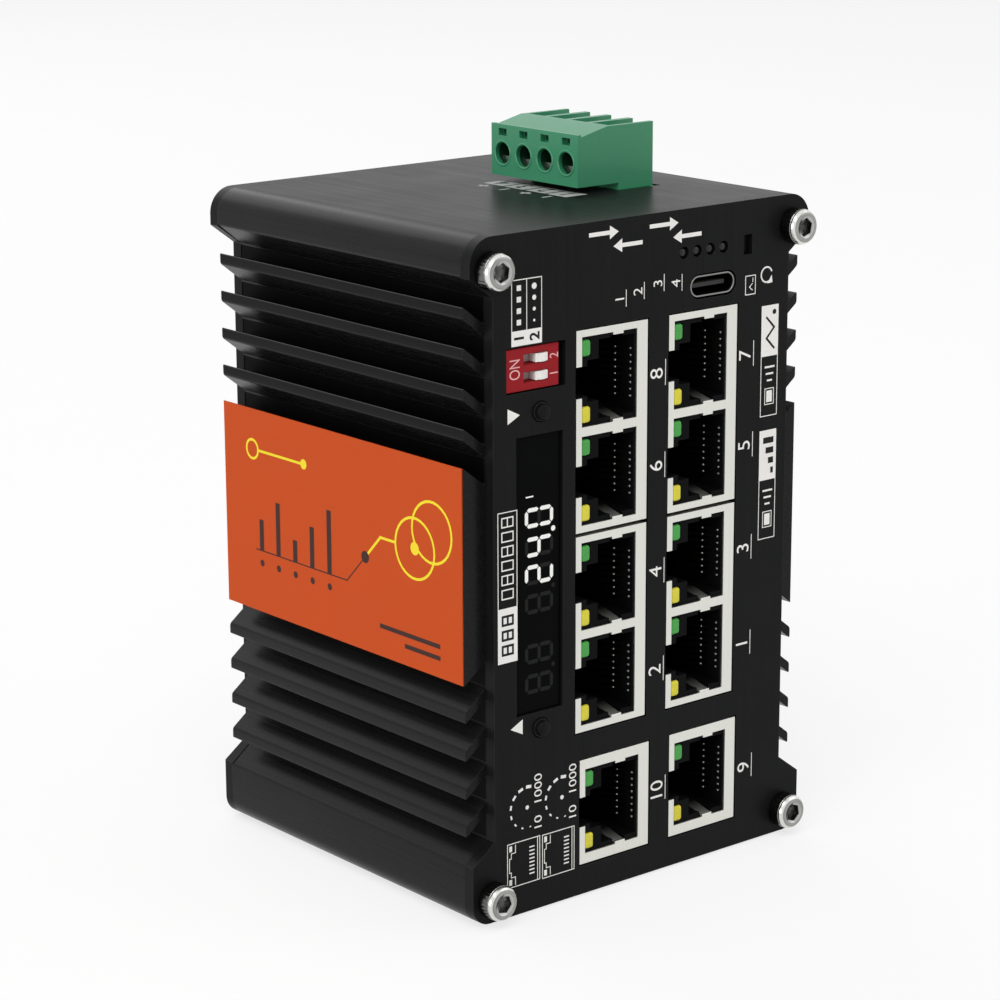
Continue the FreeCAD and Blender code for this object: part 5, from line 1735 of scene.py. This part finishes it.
@dataclass
class PowerTerminal:
    """Pluggable green screw terminal and its header."""

    plug_round: float = 0.14
    clamp_round: float = 0.1
    screw_round: float = 0.12
    poles: int = 4
    pole_pitch: float = 5.0
    entry_radius: float = 1.75
    entry_below_top: float = 5.4
    entry_corners: int = 28
    entry_smooth: float = 40.0
    collar_width: float = 0.32
    throat: Point2 = (0.7, 3.2)
    throat_wall: float = 0.05
    jaw_inset: float = 0.06
    jaw_thickness: float = 0.35
    jaw_steps: int = 10
    jaws_at: tuple[Point3, ...] = ((200, 340, 1.3), (40, 140, 2.0))
    slot_above: float = 3.3
    slot_depth: float = 1.0
    slot_half: Point2 = (0.8, 0.42)

    def build(self) -> None:
        """Dress the plug, its clamps and screws, and the header."""
        plug = "terminal_plug"
        rounded_copy(plug, self.plug_round, GREEN, plug)
        rounded_copy("terminal_header", self.plug_round, GREEN)
        rounded_copy("plug_clamps", self.clamp_round, BARE_METAL, plug)
        rounded_copy("plug_screws", self.screw_round, STEEL, plug)
        dress(PIN_TIN, "header_pins")
        block = Box.of(plug)
        face, entry = block.left, block.top - self.entry_below_top
        poles = spaced(block.middle[1], self.poles, self.pole_pitch)
        places = [(face, y, entry) for y in poles]
        REPEAT.repeat(self.collar(), places, "entry_collars", GREEN, "green_moulding", plug)
        # Dark walls deeper in the entries, as painted shade.
        REPEAT.repeat(self.sleeve(), places, "entry_throats", GREEN_PAINTED_SHADE, "green_moulding", plug)
        REPEAT.repeat(self.jaws(), places, "clamp_jaws", STEEL, "steel", plug)
        # Dark floors in the slots, as painted shade.
        deep = Print("slot_floors", Surface.LEFT, (face + self.slot_depth - Print.LIFT, 0, 0))
        wide, tall = self.slot_half
        for y in poles:
            z = entry + self.slot_above
            deep.rect((-y - wide, z - tall), (-y + wide, z + tall))
        deep.done(GREEN_PAINTED_SHADE, "green_moulding", plug)

    def collar(self) -> bpy.types.Object:
        """Make the raised collar round a wire entry, towards the left.

        Returns:
            The collar.
        """
        inner, outer = self.entry_radius, self.entry_radius + self.collar_width
        profile = ((-0.2, outer), (0.04, outer), (0.12, outer - 0.1), (0.12, inner + 0.08),
                   (0.02, inner - 0.06), (-0.2, inner - 0.06))
        return turned_piece("entry_collar", profile, self.entry_corners, Way.LEFT, GREEN,
                            self.entry_smooth, True)

    def sleeve(self) -> bpy.types.Object:
        """Make the wall deeper in a wire entry, dark as painted shade.

        Returns:
            The wall.
        """
        start, end = self.throat
        outer = self.entry_radius - 0.01
        inner = outer - self.throat_wall
        profile = ((-start, outer), (-end, outer), (-end, inner), (-start, inner))
        return turned_piece("entry_throat", profile, self.entry_corners, Way.LEFT, GREEN_PAINTED_SHADE,
                            self.entry_smooth, True)

    def jaws(self) -> bpy.types.Object:
        """Make the two bent plates of a wire clamp inside an entry.

        Returns:
            The plates.
        """
        piece = Piece("clamp_jaw")
        reach = self.entry_radius - self.jaw_inset
        for start, end, depth in self.jaws_at:
            rim = [around((0, 0), reach, start + (end - start) * step / self.jaw_steps)
                   for step in range(self.jaw_steps + 1)]
            piece.prism([(depth, y, z) for y, z in rim], (self.jaw_thickness, 0, 0))
        return piece.done(STEEL)


@dataclass
class RailClip:
    """Clip for a 35 mm rail with its sliding latch."""

    clip_round: float = 0.35
    spring_round: float = 0.12
    latch_travel: float = 4.0

    def build(self) -> None:
        """Dress the clip and the latch, and add the spring."""
        rounded_copy("rail_clip", self.clip_round, CLIP)
        rounded_copy("rail_latch", self.clip_round, CLIP, "rail_latch")
        self.spring()

    def spring(self) -> None:
        """Strip spring that stands on the clip's peg."""
        strip = rounded_copy("latch_spring", self.spring_round, SPRING)
        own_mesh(strip)


@dataclass
class Interior:
    """Boards and what they carry, inside the closed case."""

    boards: tuple[str, ...] = ("left_board", "right_board", "power_board")

    def build(self) -> None:
        """Dress the pieces inside."""
        dress(MASK, *self.boards)
        dress(INSERT, "board_link")
        dress(CHIP, "switch_chip", "power_coil")
        dress(PAD, "thermal_pad")
        dress(BARE_METAL, "heat_block", "power_capacitors")


class Lamp(NamedTuple):
    """Square soft lamp: its place and side in metres and its power in watts."""

    name: str
    place: Point3
    side: float
    power: float


@dataclass
class Studio:
    """Plain pale floor, soft light and the camera."""

    lens: float = 108.894
    sensor: float = 36.0
    clip: Point2 = (0.01, 20.0)
    azimuth: float = -39.715
    elevation: float = 14.467
    roll: float = -0.222
    target: Point3 = (-28.088, -31.7, 64.301)
    distance: float = 432.423
    sky: float = 0.62
    floor_reach: float = 4000.0
    floor_level: float = -0.3
    lamp_target: Point3 = (0.0, 0.0, 0.05)
    lamps: tuple[Lamp, ...] = (
        Lamp("key_lamp", (-0.7, -0.6, 1.15), 1.0, 9.0),
        Lamp("fill_lamp", (0.9, -0.8, 0.7), 0.9, 1.5),
        Lamp("rear_lamp", (0.1, 1.1, 0.9), 1.0, 4.0),
        Lamp("low_lamp", (-1.0, -0.1, 0.12), 0.5, 3.6))

    def build(self) -> None:
        """Set up the floor, the light and the camera."""
        self.floor()
        self.world()
        for lamp in self.lamps:
            self.light(lamp)
        self.camera()
        bpy.context.scene.view_settings.view_transform = "Standard"

    def floor(self) -> None:
        """Wide pale floor that keeps the switch's shadow."""
        piece = Piece("floor")
        reach = self.floor_reach
        corners = ((-reach, -reach), (reach, -reach), (reach, reach), (-reach, reach))
        piece.face([(x, y, self.floor_level) for x, y in corners])
        piece.done(FLOOR)

    def world(self) -> None:
        """White surroundings, at a plain level for the light that they give."""
        bpy.context.scene.world = world = bpy.data.worlds.new("studio")
        world.use_nodes = True
        tree = NodeTree(world.node_tree)
        light, white = (
            tree.node("ShaderNodeBackground", None, {"Color": PURE_WHITE, "Strength": strength})
            for strength in (self.sky, 1.0))
        sockets = {0: tree.shown(), 1: light.outputs[0], 2: white.outputs[0]}
        mixed = tree.node("ShaderNodeMixShader", None, sockets)
        tree.node("ShaderNodeOutputWorld", None, {"Surface": mixed.outputs[0]})

    def light(self, lamp: Lamp) -> None:
        """Add a lamp that faces the switch.

        Args:
            lamp: The lamp.
        """
        data = bpy.data.lights.new(lamp.name, "AREA")
        data.size = lamp.side
        data.energy = lamp.power
        obj = bpy.data.objects.new(lamp.name, data)
        obj.location = lamp.place
        way = Vector(self.lamp_target) - Vector(lamp.place)
        obj.rotation_euler = way.to_track_quat("-Z", "Y").to_euler()
        bpy.context.scene.collection.objects.link(obj)

    def camera(self) -> None:
        """Camera at the photograph's viewing angle."""
        turn, above = math.radians(self.azimuth), math.radians(self.elevation)
        flat = math.cos(above)
        away = Vector((math.sin(turn) * flat, -math.cos(turn) * flat, math.sin(above)))
        right = (-away).cross(Vector((0, 0, 1))).normalized()
        upward = right.cross(-away)
        tilt = math.radians(self.roll)
        right, upward = (math.cos(tilt) * right + math.sin(tilt) * upward,
                         math.cos(tilt) * upward - math.sin(tilt) * right)
        data = bpy.data.cameras.new("camera")
        data.sensor_width = self.sensor
        data.lens = self.lens
        data.clip_start, data.clip_end = self.clip
        obj = bpy.data.objects.new("camera", data)
        obj.rotation_euler = Matrix((right, upward, away)).transposed().to_euler()
        obj.location = (Vector(self.target) + away * self.distance) * MM
        bpy.context.scene.collection.objects.link(obj)
        bpy.context.scene.camera = obj


def main() -> None:
    """Build every sub-assembly and report it."""
    logging.basicConfig(level=logging.INFO, format="%(name)s: %(message)s")
    parts = (Case(), CaseScrews(), SideLabel(), PanelPrint(), TopPrint(), PortJacks(),
             ManagementCorner(), SlideSwitch(), DigitDisplay(), PushButtons(), PowerTerminal(),
             RailClip(), Interior(), Studio())
    for part in parts:
        part.build()
        LOG.info("%s is built", type(part).__name__)


if __name__ == "__main__":
    main()
